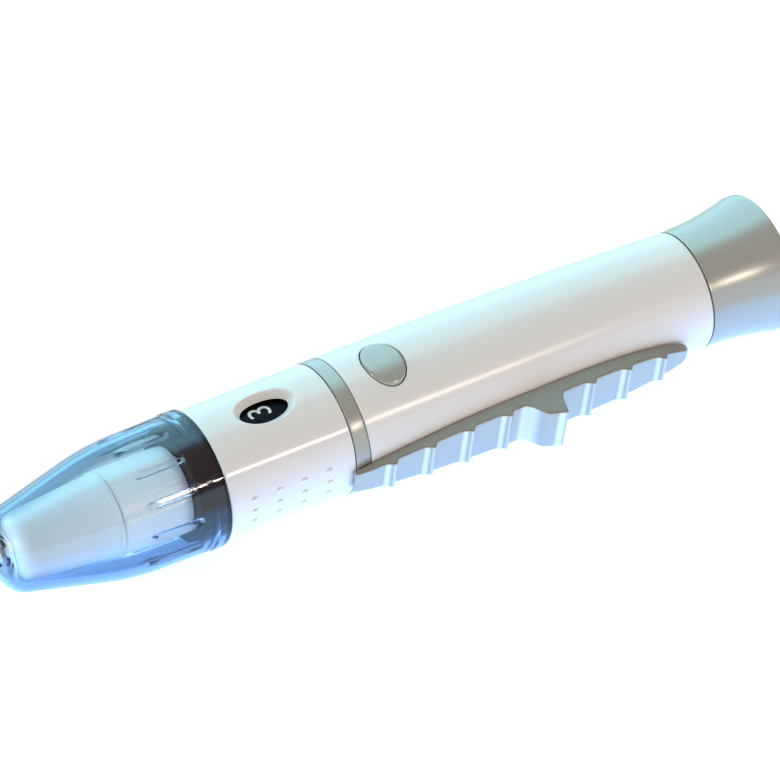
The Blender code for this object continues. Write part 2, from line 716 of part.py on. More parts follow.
def make_depth_sleeve(finish):
    corners = [
        (SLEEVE_REAR_RADIUS, SLEEVE_REAR, EDGE_ROUND),
        (SLEEVE_FRONT_RADIUS, SLEEVE_FRONT, EDGE_ROUND),
        (SLEEVE_BORE, SLEEVE_FRONT),
        (SLEEVE_BORE, SLEEVE_REAR),
    ]
    sleeve = turned("depth_sleeve", corners, finish, OUTER_STEPS)
    middle = (SLEEVE_BORE + SLEEVE_REAR_RADIUS) / 2
    depth = SLEEVE_REAR_RADIUS - SLEEVE_BORE + 2 * CUT_MARGIN
    flare = WINDOW_FLARE * depth / (SLEEVE_REAR_RADIUS - SLEEVE_BORE)
    outer_share = 1 + flare / WINDOW_WIDTH
    inner_share = 1 - flare / WINDOW_WIDTH
    stretch = Matrix.Diagonal((WINDOW_LENGTH / 2, WINDOW_WIDTH / 2, 1, 1))
    place = Matrix.Translation((middle, 0, WINDOW_AT)) @ ALONG_BUTTON @ stretch
    window = cylinder(
        "window_cutter", inner_share, depth, place, OVAL_STEPS, outer_share, cutter=True
    )
    join_or_cut(sleeve, window, "DIFFERENCE")
    for column in range(DOT_COLUMNS):
        z = SLEEVE_REAR - DOT_FIRST - column * DOT_PITCH
        share = (z - SLEEVE_FRONT) / SLEEVE_LENGTH
        surface = SLEEVE_FRONT_RADIUS + (SLEEVE_REAR_RADIUS - SLEEVE_FRONT_RADIUS) * share
        for row, angle in enumerate(DOT_ANGLES):
            dot = make_dot(f"dot_{column + 1}_{row + 1}", surface, z, math.radians(angle))
            join_or_cut(sleeve, dot, "UNION")


def make_dot(name, surface, z, angle):
    """A low dome whose middle stands DOT_HEIGHT above the sleeve."""
    mesh = bpy.data.meshes.new(name)
    work = bmesh.new()
    bmesh.ops.create_uvsphere(work, u_segments=8, v_segments=6, radius=1)
    work.to_mesh(mesh)
    work.free()
    place = Matrix.Translation((surface - DOT_HEIGHT, 0, z)) @ ALONG_BUTTON
    mesh.transform(place @ Matrix.Diagonal((DOT_RADIUS, DOT_RADIUS, 2 * DOT_HEIGHT, 1)))
    mesh.transform(Matrix.Rotation(angle, 4, "Z"))
    return add_object(name, mesh, cutter=True)


def make_trim_ring(finish):
    bore = DRUM_LAND_RADIUS + SEAT_GAP
    corners = [
        (TRIM_RADIUS, TRIM_REAR),
        (TRIM_RADIUS, TRIM_FRONT),
        (bore, TRIM_FRONT),
        (bore, TRIM_REAR),
    ]
    turned("trim_ring", corners, finish, OUTER_STEPS)


# Barrel and chassis


def lug_slot(name, low, high):
    """Room for the slide's lug at every place of its travel."""
    half = LUG_WIDTH / 2 + SHAFT_GAP
    front = LUG_AT - LUG_LENGTH / 2 - EJECT_TRAVEL - SHAFT_GAP
    rear = LUG_AT + LUG_LENGTH / 2 + SHAFT_GAP
    return box(name, (-half, low, front), (half, high, rear), cutter=True)


def button_well(name, low):
    """The oval well that the button slides in, from a height up through the barrel."""
    length = BARREL_RADIUS + CUT_MARGIN - low
    stretch = Matrix.Diagonal((BUTTON_LENGTH / 2, BUTTON_WIDTH / 2, 1, 1))
    place = Matrix.Translation((low + length / 2, 0, BUTTON_AT)) @ ALONG_BUTTON @ stretch
    return cylinder(name, 1, length, place, OVAL_STEPS, cutter=True)


def make_barrel(finish):
    belly = [(barrel_radius(z), z) for z in spread(BARREL_LENGTH, 0, BARREL_RINGS)[1:-1]]
    corners = [
        (barrel_radius(BARREL_LENGTH), BARREL_LENGTH, EDGE_ROUND),
        *belly,
        (barrel_radius(0), 0, EDGE_ROUND / 2),
        (BARREL_BORE, 0),
        (BARREL_BORE, BARREL_LENGTH),
    ]
    barrel = turned("barrel", corners, finish, OUTER_STEPS)
    join_or_cut(barrel, button_well("button_hole", BARREL_BORE - 2 * CUT_MARGIN), "DIFFERENCE")
    slot = lug_slot("barrel_slot", BARREL_BORE - CUT_MARGIN, BARREL_RADIUS + CUT_MARGIN)
    join_or_cut(barrel, slot, "DIFFERENCE")


def make_chassis(finish):
    front_outer = DRUM_BORE - SEAT_GAP
    corners = [
        (CHASSIS_RADIUS, CHASSIS_REAR),
        (CHASSIS_RADIUS, 0),
        (front_outer, 0),
        (front_outer, CHASSIS_FRONT),
        (INNER_BORE, CHASSIS_FRONT),
        (INNER_BORE, BULKHEAD_AT),
        (ROD_BORE, BULKHEAD_AT),
        (ROD_BORE, BULKHEAD_REAR),
        (CHASSIS_BORE, BULKHEAD_REAR),
        (CHASSIS_BORE, CHASSIS_REAR),
    ]
    chassis = turned("chassis", corners, finish)
    half_lever = SEAR_THICKNESS / 2 + 2 * SHAFT_GAP
    lever_rear = SEAR_TOOTH_REAR + CUT_MARGIN
    lever_window = box(
        "lever_window",
        (ROD_RADIUS, -half_lever, BULKHEAD_REAR),
        (BARREL_RADIUS, half_lever, lever_rear),
        cutter=True,
    )
    foot_reach = BUTTON_LENGTH / 2 + BUTTON_FOOT_LAP + 2 * SHAFT_GAP
    half_foot = BUTTON_FOOT_WIDTH / 2 + 2 * SHAFT_GAP
    foot_window = box(
        "foot_window",
        (SEAR_PIVOT_HEIGHT, -half_foot, max(BUTTON_AT - foot_reach, BULKHEAD_REAR)),
        (BARREL_RADIUS, half_foot, BUTTON_AT + foot_reach),
        cutter=True,
    )
    pin_place = Matrix.Translation((SEAR_PIVOT_HEIGHT, 0, SEAR_PIVOT_AT)) @ ALONG_SLIDE
    pin_hole = cylinder(
        "pin_hole", SEAR_PIN_RADIUS + SEAR_PIN_GAP, 2 * BARREL_RADIUS, pin_place, cutter=True
    )
    half_rail = RAIL_WIDTH / 2 + SHAFT_GAP
    rail_notch = box(
        "rail_notch",
        (-half_rail, RAIL_BOTTOM - SHAFT_GAP, BULKHEAD_AT - CUT_MARGIN),
        (half_rail, INNER_BORE + SHAFT_GAP, BULKHEAD_REAR + CUT_MARGIN),
        cutter=True,
    )
    slot = lug_slot("chassis_slot", RAIL_TOP, BARREL_BORE + CUT_MARGIN)
    well = button_well("chassis_well", BUTTON_FOOT_AT - BUTTON_TRAVEL)
    for cutter in (lever_window, foot_window, pin_hole, rail_notch, slot, well):
        join_or_cut(chassis, cutter, "DIFFERENCE")


# Trigger button, sear lever and pin


def button_crown_radius(z):
    drop = BUTTON_CROWN_ROUND - math.sqrt(BUTTON_CROWN_ROUND**2 - (z - BUTTON_AT) ** 2)
    return BARREL_RADIUS + BUTTON_CROWN - drop


def make_trigger_button(finish):
    stretch = Matrix.Diagonal((BUTTON_LENGTH / 2 - RUN_GAP, BUTTON_WIDTH / 2 - RUN_GAP, 1, 1))
    low = BUTTON_FOOT_AT + EDGE_ROUND
    length = BARREL_RADIUS + BUTTON_CROWN + CUT_MARGIN - low
    place = Matrix.Translation((low + length / 2, 0, BUTTON_AT)) @ ALONG_BUTTON @ stretch
    button = cylinder("trigger_button", 1, length, place, OVAL_STEPS, finish=finish)
    front = BUTTON_AT - BUTTON_LENGTH / 2 - EDGE_ROUND
    rear = BUTTON_AT + BUTTON_LENGTH / 2 + EDGE_ROUND
    dome = [(button_crown_radius(z), z) for z in spread(rear, front, BUTTON_CROWN_RINGS)]
    crown = turned("crown_form", [(0, rear), *dome, (0, front)], None, 2 * OUTER_STEPS, cutter=True)
    join_or_cut(button, crown, "INTERSECT")
    foot_reach = BUTTON_LENGTH / 2 + BUTTON_FOOT_LAP
    foot = box(
        "button_foot",
        (BUTTON_FOOT_AT, -BUTTON_FOOT_WIDTH / 2, BUTTON_AT - foot_reach),
        (BARREL_RADIUS, BUTTON_FOOT_WIDTH / 2, BUTTON_AT + foot_reach),
        cutter=True,
    )
    under = BARREL_BORE - SHAFT_GAP
    along_pen = Matrix.Translation((0, 0, BUTTON_AT))
    foot_form = cylinder("foot_form", under, 4 * BUTTON_LENGTH, along_pen, OUTER_STEPS, cutter=True)
    join_or_cut(foot, foot_form, "INTERSECT")
    stem_middle = BUTTON_FOOT_BOTTOM + BUTTON_STEM_LENGTH
    stem_place = Matrix.Translation((stem_middle, 0, BUTTON_AT)) @ ALONG_BUTTON
    stem = cylinder("button_stem", BUTTON_STEM, 2 * BUTTON_STEM_LENGTH, stem_place, cutter=True)
    join_or_cut(button, foot, "UNION")
    join_or_cut(button, stem, "UNION")


def make_sear_lever(finish):
    """Rocker about the pin: the button tips its pad in, which lifts its tooth."""
    low = SEAR_PIVOT_HEIGHT - SEAR_ARM / 2
    high = SEAR_PIVOT_HEIGHT + SEAR_ARM / 2
    pad = BUTTON_FOOT_BOTTOM - SHAFT_GAP
    pad_front = BUTTON_AT - SEAR_PAD_LENGTH / 2
    pad_rear = BUTTON_AT + SEAR_PAD_LENGTH / 2
    tooth_front = SEAR_TOOTH_REAR - SEAR_TOOTH
    outline = [
        (pad_front, low),
        (pad_front, pad),
        (pad_rear, pad),
        (pad_rear + (pad - high) / 2, high),
        (SEAR_TOOTH_REAR, high),
        (SEAR_TOOTH_REAR, CATCH_RADIUS + SHAFT_GAP),
        (tooth_front, CATCH_RADIUS + SHAFT_GAP),
        (tooth_front, low),
    ]
    pivot = (SEAR_PIVOT_HEIGHT, 0, SEAR_PIVOT_AT)
    lever = plate("sear_lever", outline, SEAR_THICKNESS, SIDE_OF_BUTTON, finish)
    at_pivot = Matrix.Translation(pivot) @ ALONG_SLIDE
    boss_length = SEAR_THICKNESS + 2 * SEAR_BOSS_STEP
    boss = cylinder("sear_boss", SEAR_BOSS, boss_length, at_pivot, cutter=True)
    hole = cylinder(
        "sear_hole", SEAR_PIN_RADIUS + SEAR_PIN_GAP, 2 * SEAR_THICKNESS, at_pivot, cutter=True
    )
    join_or_cut(lever, boss, "UNION")
    join_or_cut(lever, hole, "DIFFERENCE")
    lever.data.transform(Matrix.Translation(-Vector(pivot)))
    lever.location = pivot


def make_sear_pin(finish):
    place = Matrix.Translation((SEAR_PIVOT_HEIGHT, 0, SEAR_PIVOT_AT)) @ ALONG_SLIDE
    cylinder("sear_pin", SEAR_PIN_RADIUS, 2 * SEAR_PIN_REACH, place, finish=finish)


# Cocking knob, its stem, screw and plate, and the bush that guides the stem


def knob_radius(z):
    share = min((z - KNOB_FRONT) / (KNOB_LENGTH - KNOB_RIM_LENGTH), 1)
    return KNOB_FRONT_RADIUS + (KNOB_RIM_RADIUS - KNOB_FRONT_RADIUS) * share**KNOB_FLARE


def make_cocking_knob(finish):
    flare_rear = KNOB_REAR - KNOB_RIM_LENGTH
    hollow_front = KNOB_FRONT + KNOB_FRONT_WALL
    plate_front = KNOB_REAR - END_PLATE_SET_IN - END_PLATE_THICKNESS - SEAT_GAP
    ledge = knob_radius(KNOB_REAR) - KNOB_WALL
    outside = [(knob_radius(z), z) for z in spread(flare_rear, KNOB_FRONT, KNOB_RINGS)[:-1]]
    corners = [
        (KNOB_RIM_RADIUS, KNOB_REAR, EDGE_ROUND),
        *outside,
        (KNOB_FRONT_RADIUS, KNOB_FRONT, EDGE_ROUND / 2),
        (SCREW_RADIUS + SHAFT_GAP, KNOB_FRONT),
        (SCREW_RADIUS + SHAFT_GAP, hollow_front),
        (knob_radius(hollow_front) - KNOB_WALL - END_PLATE_LEDGE, hollow_front),
        (ledge - END_PLATE_LEDGE, plate_front),
        (ledge, plate_front),
        (ledge, KNOB_REAR),
    ]
    turned("cocking_knob", corners, finish, OUTER_STEPS)


def make_knob_end_plate(finish):
    rear = KNOB_REAR - END_PLATE_SET_IN
    radius = KNOB_RIM_RADIUS - KNOB_WALL - SEAT_GAP
    corners = [
        (0, rear),
        (radius, rear),
        (radius, rear - END_PLATE_THICKNESS),
        (0, rear - END_PLATE_THICKNESS),
    ]
    turned("knob_end_plate", corners, finish, OUTER_STEPS)


def make_knob_stem(finish):
    screw_hole = SCREW_RADIUS + SEAT_GAP
    hole_front = STEM_REAR - SCREW_REACH - SEAT_GAP
    corners = [
        (0, hole_front),
        (screw_hole, hole_front),
        (screw_hole, STEM_REAR),
        (STEM_RADIUS, STEM_REAR),
        (STEM_RADIUS, STEM_FRONT + STEM_LIP),
        (STEM_FLANGE_RADIUS, STEM_FRONT + STEM_LIP),
        (STEM_FLANGE_RADIUS, STEM_FRONT),
        (ROD_BORE, STEM_FRONT),
        (ROD_BORE, STEM_FRONT + STEM_LIP),
        (STEM_BORE, STEM_FRONT + STEM_LIP),
        (STEM_BORE, STEM_BORE_REAR),
        (0, STEM_BORE_REAR),
    ]
    turned("knob_stem", corners, finish)


def make_knob_screw(finish):
    seat = KNOB_FRONT + KNOB_FRONT_WALL + SEAT_GAP
    head_rear = seat + SCREW_HEAD_LENGTH
    tip = STEM_REAR - SCREW_REACH
    corners = [
        (0, head_rear),
        (SCREW_HEAD_RADIUS, head_rear, EDGE_ROUND),
        (SCREW_HEAD_RADIUS, seat),
        (SCREW_RADIUS, seat),
        (SCREW_RADIUS, tip),
        (0, tip),
    ]
    screw = turned("knob_screw", corners, finish, SMALL_STEPS)
    for i in range(2):
        blade = box(
            f"screw_cross_{i + 1}",
            (-SCREW_CROSS_REACH, -SCREW_CROSS_WIDTH / 2, head_rear - SCREW_HEAD_LENGTH / 2),
            (SCREW_CROSS_REACH, SCREW_CROSS_WIDTH / 2, head_rear + CUT_MARGIN),
            cutter=True,
        )
        blade.data.transform(Matrix.Rotation(math.radians(90) * i, 4, "Z"))
        join_or_cut(screw, blade, "DIFFERENCE")


def make_rear_bush(finish):
    bore = STEM_RADIUS + SHAFT_GAP
    outer = BARREL_BORE - SEAT_GAP
    corners = [
        (outer, BUSH_REAR),
        (outer, BUSH_FRONT),
        (bore, BUSH_FRONT),
        (bore, BUSH_REAR),
    ]
    turned("rear_bush", corners, finish)


# Ejector slide and pusher


def slide_half_width(z):
    if z < SLIDE_WIDEST_FROM:
        share = (SLIDE_WIDEST_FROM - z) / (SLIDE_WIDEST_FROM - SLIDE_FRONT)
        return SLIDE_HALF_WIDTH - (SLIDE_HALF_WIDTH - SLIDE_FRONT_HALF_WIDTH) * share**SLIDE_FRONT_TAPER
    if z > SLIDE_WIDEST_TO:
        share = (z - SLIDE_WIDEST_TO) / (SLIDE_REAR - SLIDE_WIDEST_TO)
        return SLIDE_HALF_WIDTH * math.sqrt(max(1 - share**SLIDE_REAR_TAPER, 0))
    return SLIDE_HALF_WIDTH


def slide_plan():
    """The leaf-shaped outline seen from above the slide, as (z, x)."""
    places = spread(SLIDE_FRONT, SLIDE_WIDEST_FROM, SLIDE_PLAN_STEPS)
    for turn in spread(0, math.radians(90), SLIDE_PLAN_STEPS)[:-1]:
        places.append(SLIDE_WIDEST_TO + (SLIDE_REAR - SLIDE_WIDEST_TO) * math.sin(turn))
    side = [(z, slide_half_width(z)) for z in places]
    other_side = [(z, -x) for z, x in reversed(side)]
    return [*side, (SLIDE_REAR, 0), *other_side]


def slide_top(z):
    """Radius of the slide's back between its ribs."""
    if z < HOOK_AT:
        share = (z - SLIDE_FRONT) / (HOOK_AT - SLIDE_FRONT)
        height = SLIDE_FRONT_HEIGHT + (SLIDE_MID_HEIGHT - SLIDE_FRONT_HEIGHT) * share
    else:
        share = (z - HOOK_AT) / (SLIDE_REAR - HOOK_AT)
        height = SLIDE_MID_HEIGHT + (SLIDE_REAR_HEIGHT - SLIDE_MID_HEIGHT) * share
    return barrel_radius(z) + height


def rib(z):
    """A hollow ramp up to the rib's crest at z and the steep step behind it."""
    start = z - RIB_RAMP
    points = []
    for i in range(RIB_POINTS + 1):
        share = i / RIB_POINTS
        along = start + RIB_RAMP * share
        points.append((along, slide_top(along) + RIB_HEIGHT * share**RIB_HOLLOW))
    points.append((z + RIB_FALL, slide_top(z + RIB_FALL)))
    return points


def hook():
    """The thumb hook: a hollow ramp, a blunt crest and a steep rear face."""
    crest_front = HOOK_AT - HOOK_FLAT
    start = crest_front - HOOK_RAMP
    points = []
    for i in range(HOOK_POINTS + 1):
        share = i / HOOK_POINTS
        along = start + HOOK_RAMP * share
        base = slide_top(along)
        points.append((along, base + (HOOK_RADIUS - base) * share**HOOK_HOLLOW))
    points += [
        (HOOK_AT, HOOK_RADIUS - EDGE_ROUND),
        (HOOK_AT + EDGE_ROUND, HOOK_RADIUS - 3 * EDGE_ROUND),
        (HOOK_AT + 2 * EDGE_ROUND, slide_top(HOOK_AT) + 2 * EDGE_ROUND),
        (HOOK_AT + 5 * EDGE_ROUND, slide_top(HOOK_AT)),
    ]
    return points


def make_ejector_slide(finish):
    nose = barrel_radius(SLIDE_FRONT) + SLIDE_CLEARANCE + SLIDE_NOSE_HEIGHT
    inside = BARREL_BORE
    outline = [(SLIDE_FRONT, inside), (SLIDE_FRONT, nose)]
    for i in range(FRONT_RIBS):
        outline += rib(FRONT_RIB_AT + i * RIB_PITCH)
    outline += hook()
    for i in range(REAR_RIBS):
        outline += rib(REAR_RIB_AT + i * RIB_PITCH)
    outline += [
        (SLIDE_REAR - SLIDE_END_ROUND, slide_top(SLIDE_REAR - SLIDE_END_ROUND)),
        (SLIDE_REAR - SLIDE_END_ROUND / 4, slide_top(SLIDE_REAR) - SLIDE_END_ROUND / 3),
        (SLIDE_REAR, slide_top(SLIDE_REAR) - SLIDE_END_ROUND),
        (SLIDE_REAR, inside),
    ]
    slide = plate("ejector_slide", outline, 4 * SLIDE_HALF_WIDTH, SIDE_OF_SLIDE, finish)
    middle = Matrix.Translation((0, HOOK_RADIUS, 0)) @ SIDE_OF_BUTTON
    leaf = plate("slide_leaf", slide_plan(), 2 * HOOK_RADIUS, middle, cutter=True)
    join_or_cut(slide, leaf, "INTERSECT")
    under = []
    start, end = SLIDE_FRONT - CUT_MARGIN, SLIDE_REAR + CUT_MARGIN
    for z in spread(end, start, SLIDE_UNDER_RINGS):
        widest = max(z - EJECT_TRAVEL, BARREL_BELLY_AT)
        under.append((barrel_radius(widest) + SLIDE_CLEARANCE, z))
    corners = [(0, end), *under, (0, start)]
    form = turned("slide_under_form", corners, None, 2 * OUTER_STEPS, cutter=True)
    join_or_cut(slide, form, "DIFFERENCE")
    bevel = slide.modifiers.new("edges", "BEVEL")
    bevel.width = SLIDE_EDGE_ROUND
    bevel.segments = 2
    bevel.limit_method = "ANGLE"
    bevel.angle_limit = math.radians(50)
    lug = box(
        "slide_lug",
        (-LUG_WIDTH / 2, LUG_FOOT, LUG_AT - LUG_LENGTH / 2),
        (LUG_WIDTH / 2, BARREL_RADIUS + 2 * SLIDE_CLEARANCE, LUG_AT + LUG_LENGTH / 2),
        cutter=True,
    )
    join_or_cut(slide, lug, "UNION")


def make_ejector_pusher(finish):
    """A rail under the slide's lug, with a tab for its spring and a prong at its front."""
    outline = [
        (RAIL_REAR, RAIL_BOTTOM),
        (RAIL_REAR, RAIL_TOP - RAIL_HEIGHT / 4),
        (PRONG_REAR - PRONG_LENGTH, RAIL_TOP - RAIL_HEIGHT / 4),
        (PRONG_REAR - PRONG_LENGTH, PRONG_TIP),
        (PRONG_REAR, PRONG_TIP),
        (PRONG_REAR, RAIL_BOTTOM),
        (RAIL_TAB_AT, RAIL_BOTTOM),
        (RAIL_TAB_AT, CATCH_RADIUS + SHAFT_GAP),
        (RAIL_TAB_AT + RAIL_TAB_LENGTH, CATCH_RADIUS + SHAFT_GAP),
        (RAIL_TAB_AT + RAIL_TAB_LENGTH, RAIL_BOTTOM),
    ]
    plate("ejector_pusher", outline, RAIL_WIDTH, SIDE_OF_SLIDE, finish)


# Springs


def make_springs(finish):
    drive_ends = (CARRIER_REAR + SEAT_GAP, BULKHEAD_AT - SEAT_GAP)
    return_ends = (BULKHEAD_REAR + SEAT_GAP, CATCH_AT - SEAT_GAP)
    coil("drive_spring", DRIVE_MEAN, DRIVE_WIRE, DRIVE_TURNS, *drive_ends, finish)
    coil("return_spring", RETURN_MEAN, RETURN_WIRE, RETURN_TURNS, *return_ends, finish)
    coil(
        "knob_spring",
        KNOB_MEAN,
        KNOB_WIRE,
        KNOB_TURNS,
        STEM_FRONT + STEM_LIP + SEAT_GAP,
        BUSH_FRONT - SEAT_GAP,
        finish,
    )
    arm_top = SEAR_PIVOT_HEIGHT + SEAR_ARM / 2
    coil(
        "sear_spring",
        SEAR_MEAN,
        SEAR_WIRE,
        SEAR_TURNS,
        arm_top + SEAT_GAP,
        BARREL_BORE - 2 * SEAT_GAP,
        finish,
        Matrix.Translation((0, 0, SEAR_SPRING_AT)) @ ALONG_BUTTON,
    )
    spring_height = (RAIL_BOTTOM + CATCH_RADIUS) / 2
    coil(
        "ejector_spring",
        EJECTOR_MEAN,
        EJECTOR_WIRE,
        EJECTOR_TURNS,
        BULKHEAD_REAR + SEAT_GAP,
        RAIL_TAB_AT - SEAT_GAP,
        finish,
        Matrix.Translation((0, spring_height, 0)),
    )


# The pen at rest


def points_of(obj, graph):
    evaluated = obj.evaluated_get(graph)
    mesh = evaluated.to_mesh()
    points = [evaluated.matrix_world @ vertex.co for vertex in mesh.vertices]
    evaluated.to_mesh_clear()
    return points


def resting_roll(graph):
    """The turn about the axis at which the slide's hook meets the floor under the rim."""
    roll = 0
    for point in points_of(bpy.data.objects["ejector_slide"], graph):
        reach = math.hypot(point.x, point.y)
        if reach > KNOB_RIM_RADIUS:
            touch = math.acos(KNOB_RIM_RADIUS / reach) - math.atan2(point.x, point.y)
            roll = max(roll, touch)
    return roll


def lay_down():
    """Lay the pen along +X on the floor, with its box's bottom centre at the origin."""
    axis = bpy.data.objects["pen_axis"]
    graph = bpy.context.evaluated_depsgraph_get()
    roll = resting_roll(graph)
    button = Vector((0, -math.cos(roll), math.sin(roll)))
    slide = Vector((0, -math.sin(roll), -math.cos(roll)))
    along = Vector((1, 0, 0))
    turn = Matrix((button, slide, along)).transposed()
    axis.matrix_basis = turn.to_4x4()
    bpy.context.view_layer.update()
    graph = bpy.context.evaluated_depsgraph_get()
    points = []
    for obj in bpy.data.collections[PARTS].objects:
        if obj.type == "MESH":
            points += points_of(obj, graph)
    low = [min(p[i] for p in points) for i in range(3)]
    high = [max(p[i] for p in points) for i in range(3)]
    axis.location = (-(low[0] + high[0]) / 2, -(low[1] + high[1]) / 2, -low[2])


def main():
    clear_scene()
    axis = bpy.data.objects.new("pen_axis", None)
    bpy.data.collections[PARTS].objects.link(axis)
    make_end_cap("clear")
    make_cap_liner("white")
    make_nose_tube("white")
    make_lancet_carrier("natural")
    make_plunger_rod("natural")
    make_depth_drum("black")
    make_click_ring("steel")
    make_depth_sleeve("white")
    make_trim_ring("silver")
    make_barrel("white")
    make_chassis("natural")
    make_trigger_button("silver")
    make_sear_lever("natural")
    make_sear_pin("steel")
    make_cocking_knob("silver")
    make_knob_end_plate("silver")
    make_knob_stem("natural")
    make_knob_screw("steel")
    make_rear_bush("natural")
    make_ejector_slide("silver")
    make_ejector_pusher("natural")
    make_springs("steel")
    bpy.context.view_layer.update()
    lay_down()
    bpy.context.view_layer.update()


main()
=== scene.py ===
"""Looks of the lancing device: smooth shells, clear cap, numbers, finishes, light and camera."""

import json
import math

import bmesh
import bpy
from mathutils import Matrix, Vector


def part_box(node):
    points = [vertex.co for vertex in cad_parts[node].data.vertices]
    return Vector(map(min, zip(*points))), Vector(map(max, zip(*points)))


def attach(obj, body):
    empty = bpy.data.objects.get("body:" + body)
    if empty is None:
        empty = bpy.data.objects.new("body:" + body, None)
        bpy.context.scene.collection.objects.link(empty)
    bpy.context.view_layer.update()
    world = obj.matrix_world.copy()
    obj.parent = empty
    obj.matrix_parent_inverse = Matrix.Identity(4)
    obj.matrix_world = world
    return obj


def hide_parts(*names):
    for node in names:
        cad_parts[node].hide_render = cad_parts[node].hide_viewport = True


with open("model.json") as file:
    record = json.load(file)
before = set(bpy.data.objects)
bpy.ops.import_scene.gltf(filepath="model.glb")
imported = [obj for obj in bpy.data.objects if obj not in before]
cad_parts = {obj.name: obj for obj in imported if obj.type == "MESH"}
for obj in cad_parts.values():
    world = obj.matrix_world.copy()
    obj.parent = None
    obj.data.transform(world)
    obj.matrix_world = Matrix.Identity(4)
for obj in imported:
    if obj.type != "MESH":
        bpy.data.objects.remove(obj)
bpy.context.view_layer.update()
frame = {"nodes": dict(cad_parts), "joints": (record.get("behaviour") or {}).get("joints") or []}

MM = 0.001

# Fineness of round shapes
STEPS = 192
ARC_STEPS = 6
SKIN_RINGS = 40
SHARP_ANGLE = math.radians(38)
WELD = 0.0005 * MM

# Camera; its aim is (towards button, towards slide, along) from the barrel's front face
CAMERA_AIM = (0.82 * MM, -1.13 * MM, 7.78 * MM)
CAMERA_AZIMUTH = math.radians(-26.08)
CAMERA_ELEVATION = math.radians(23.79)
CAMERA_LEAN = math.radians(9.95)
CAMERA_DISTANCE = 568 * MM
CAMERA_LENS = 230.8
CAMERA_SENSOR = 36.0
CAMERA_CLIP_START = 0.01
CAMERA_CLIP_END = 20

# Gaps and edge rounding shared by the shells, and how far a cutter reaches past a skin
RUN_GAP = 0.12 * MM
SEAT_GAP = 0.1 * MM
CUT_SPARE = 1.0 * MM
EDGE_ROUND = 0.25 * MM
FINE_ROUND = 0.1 * MM

# Barrel
BARREL_RADIUS = 8.0 * MM
BARREL_BELLY_AT = 5.0 * MM
BARREL_REAR_RADIUS = 7.2 * MM
BARREL_BORE = 6.3 * MM
BARREL_RINGS = 48
SLOT_CUT_DEPTH = 4.0 * MM
SLOT_CUT_DROP = 0.5 * MM

# Depth sleeve, its window and dots
SLEEVE_REAR_RADIUS = 7.9 * MM
SLEEVE_FRONT_RADIUS = 7.8 * MM
SLEEVE_BORE = 6.95 * MM
WINDOW_SET_BACK = 7.8 * MM
WINDOW_LENGTH = 6.0 * MM
WINDOW_WIDTH = 3.1 * MM
WINDOW_TURN = math.radians(-2.5)
WINDOW_RUN = 0.8 * MM
WINDOW_ROUND = 0.45 * MM
WINDOW_STEPS = 128
WINDOW_LIP_STEPS = 8
DOT_FIRST = 3.4 * MM
DOT_PITCH = 3.2 * MM
DOT_COLUMNS = 4
DOT_ANGLES = (71.0, 83.0, 95.0)
DOT_LENGTH = 0.52 * MM
DOT_WIDTH = 0.36 * MM
DOT_HEIGHT = 0.2 * MM
DOT_SEGMENTS = 24
DOT_RINGS = 16

# Drum with its numbers and the collar under the cap
DRUM_NUMBER_RADIUS = 6.4 * MM
DRUM_BORE = 5.5 * MM
DRUM_REAR_LAND = 2.2 * MM
DRUM_FRONT_LAND = 2.4 * MM
COLLAR_WALL = 0.8 * MM
NUMBER_HEIGHT = 2.75 * MM
NUMBER_WEIGHT = -0.004
NUMBER_EXTRUDE = 0.01
NUMBER_COLUMNS = 14
NUMBER_FORWARD = 0.3 * MM
NUMBER_RAISE = 0.03 * MM
NUMBER_LIFT = math.radians(4.5)
NUMBER_PITCH = math.radians(30)
NUMBERS = (1, 2, 3, 4, 5)
NUMBER_AT_REST = 3
TRIM_RADIUS = 7.95 * MM

# Clear cap and white liner
CAP_BORE = 7.12 * MM
CAP_RIM_RADIUS = 8.2 * MM
CAP_RIM_LENGTH = 1.6 * MM
CAP_BASE_RADIUS = 8.1 * MM
CAP_KNEE_RADIUS = 7.92 * MM
CAP_KNEE_SET_BACK = 14.1 * MM
CAP_KNEE_ROUND = 30.0 * MM
CAP_NOSE_RADIUS = 4.5 * MM
CAP_NOSE_ROUND = 2.6 * MM
CAP_WALL = 1.0 * MM
CAP_NOSE_WALL = 1.15 * MM
CAP_HOLE = 1.3 * MM
CAP_FINENESS = 0.45 * MM
CAP_RIBS = 12
CAP_RIB_LENGTH = 6.6 * MM
CAP_RIB_HEIGHT = 0.42 * MM
CAP_RIB_WIDTH = 0.75 * MM
CAP_RIB_FADE = 1.5 * MM
CAP_RIB_REAR_FADE = CAP_RIB_FADE / 4
LINER_REAR_RADIUS = 4.95 * MM
LINER_FRONT_RADIUS = 3.8 * MM
LINER_NOSE_ROUND = 2.3 * MM
LINER_WALL = 0.75 * MM
LINER_HOLE = 1.2 * MM
LINER_BEAD = 0.5 * MM
LINER_SHORTER = 1.8 * MM

# Nose tube
NOSE_TUBE_RADIUS = 4.2 * MM
NOSE_WIDE_RADIUS = 4.9 * MM
NOSE_TUBE_BORE = 3.45 * MM
NOSE_RIBS = 12
NOSE_RIB_HEIGHT = 0.12 * MM
NOSE_RIB_WIDTH = 0.6 * MM
NOSE_NECK_RINGS = 8
INNER_BORE = 4.6 * MM

# Trigger button
BUTTON_AT = 5.4 * MM
BUTTON_LENGTH = 5.0 * MM
BUTTON_WIDTH = 6.6 * MM
BUTTON_CROWN = 0.3 * MM
BUTTON_CROWN_ROUND = 14.0 * MM
BUTTON_LOW = 5.55 * MM
BUTTON_EDGE = 0.35 * MM
BUTTON_CENTRE = 0.02
BUTTON_STEPS = 96
BUTTON_RINGS = 14
BUTTON_EDGE_STEPS = 7
BUTTON_LIP_STEPS = 5
BUTTON_LIP_TURN = math.radians(80)

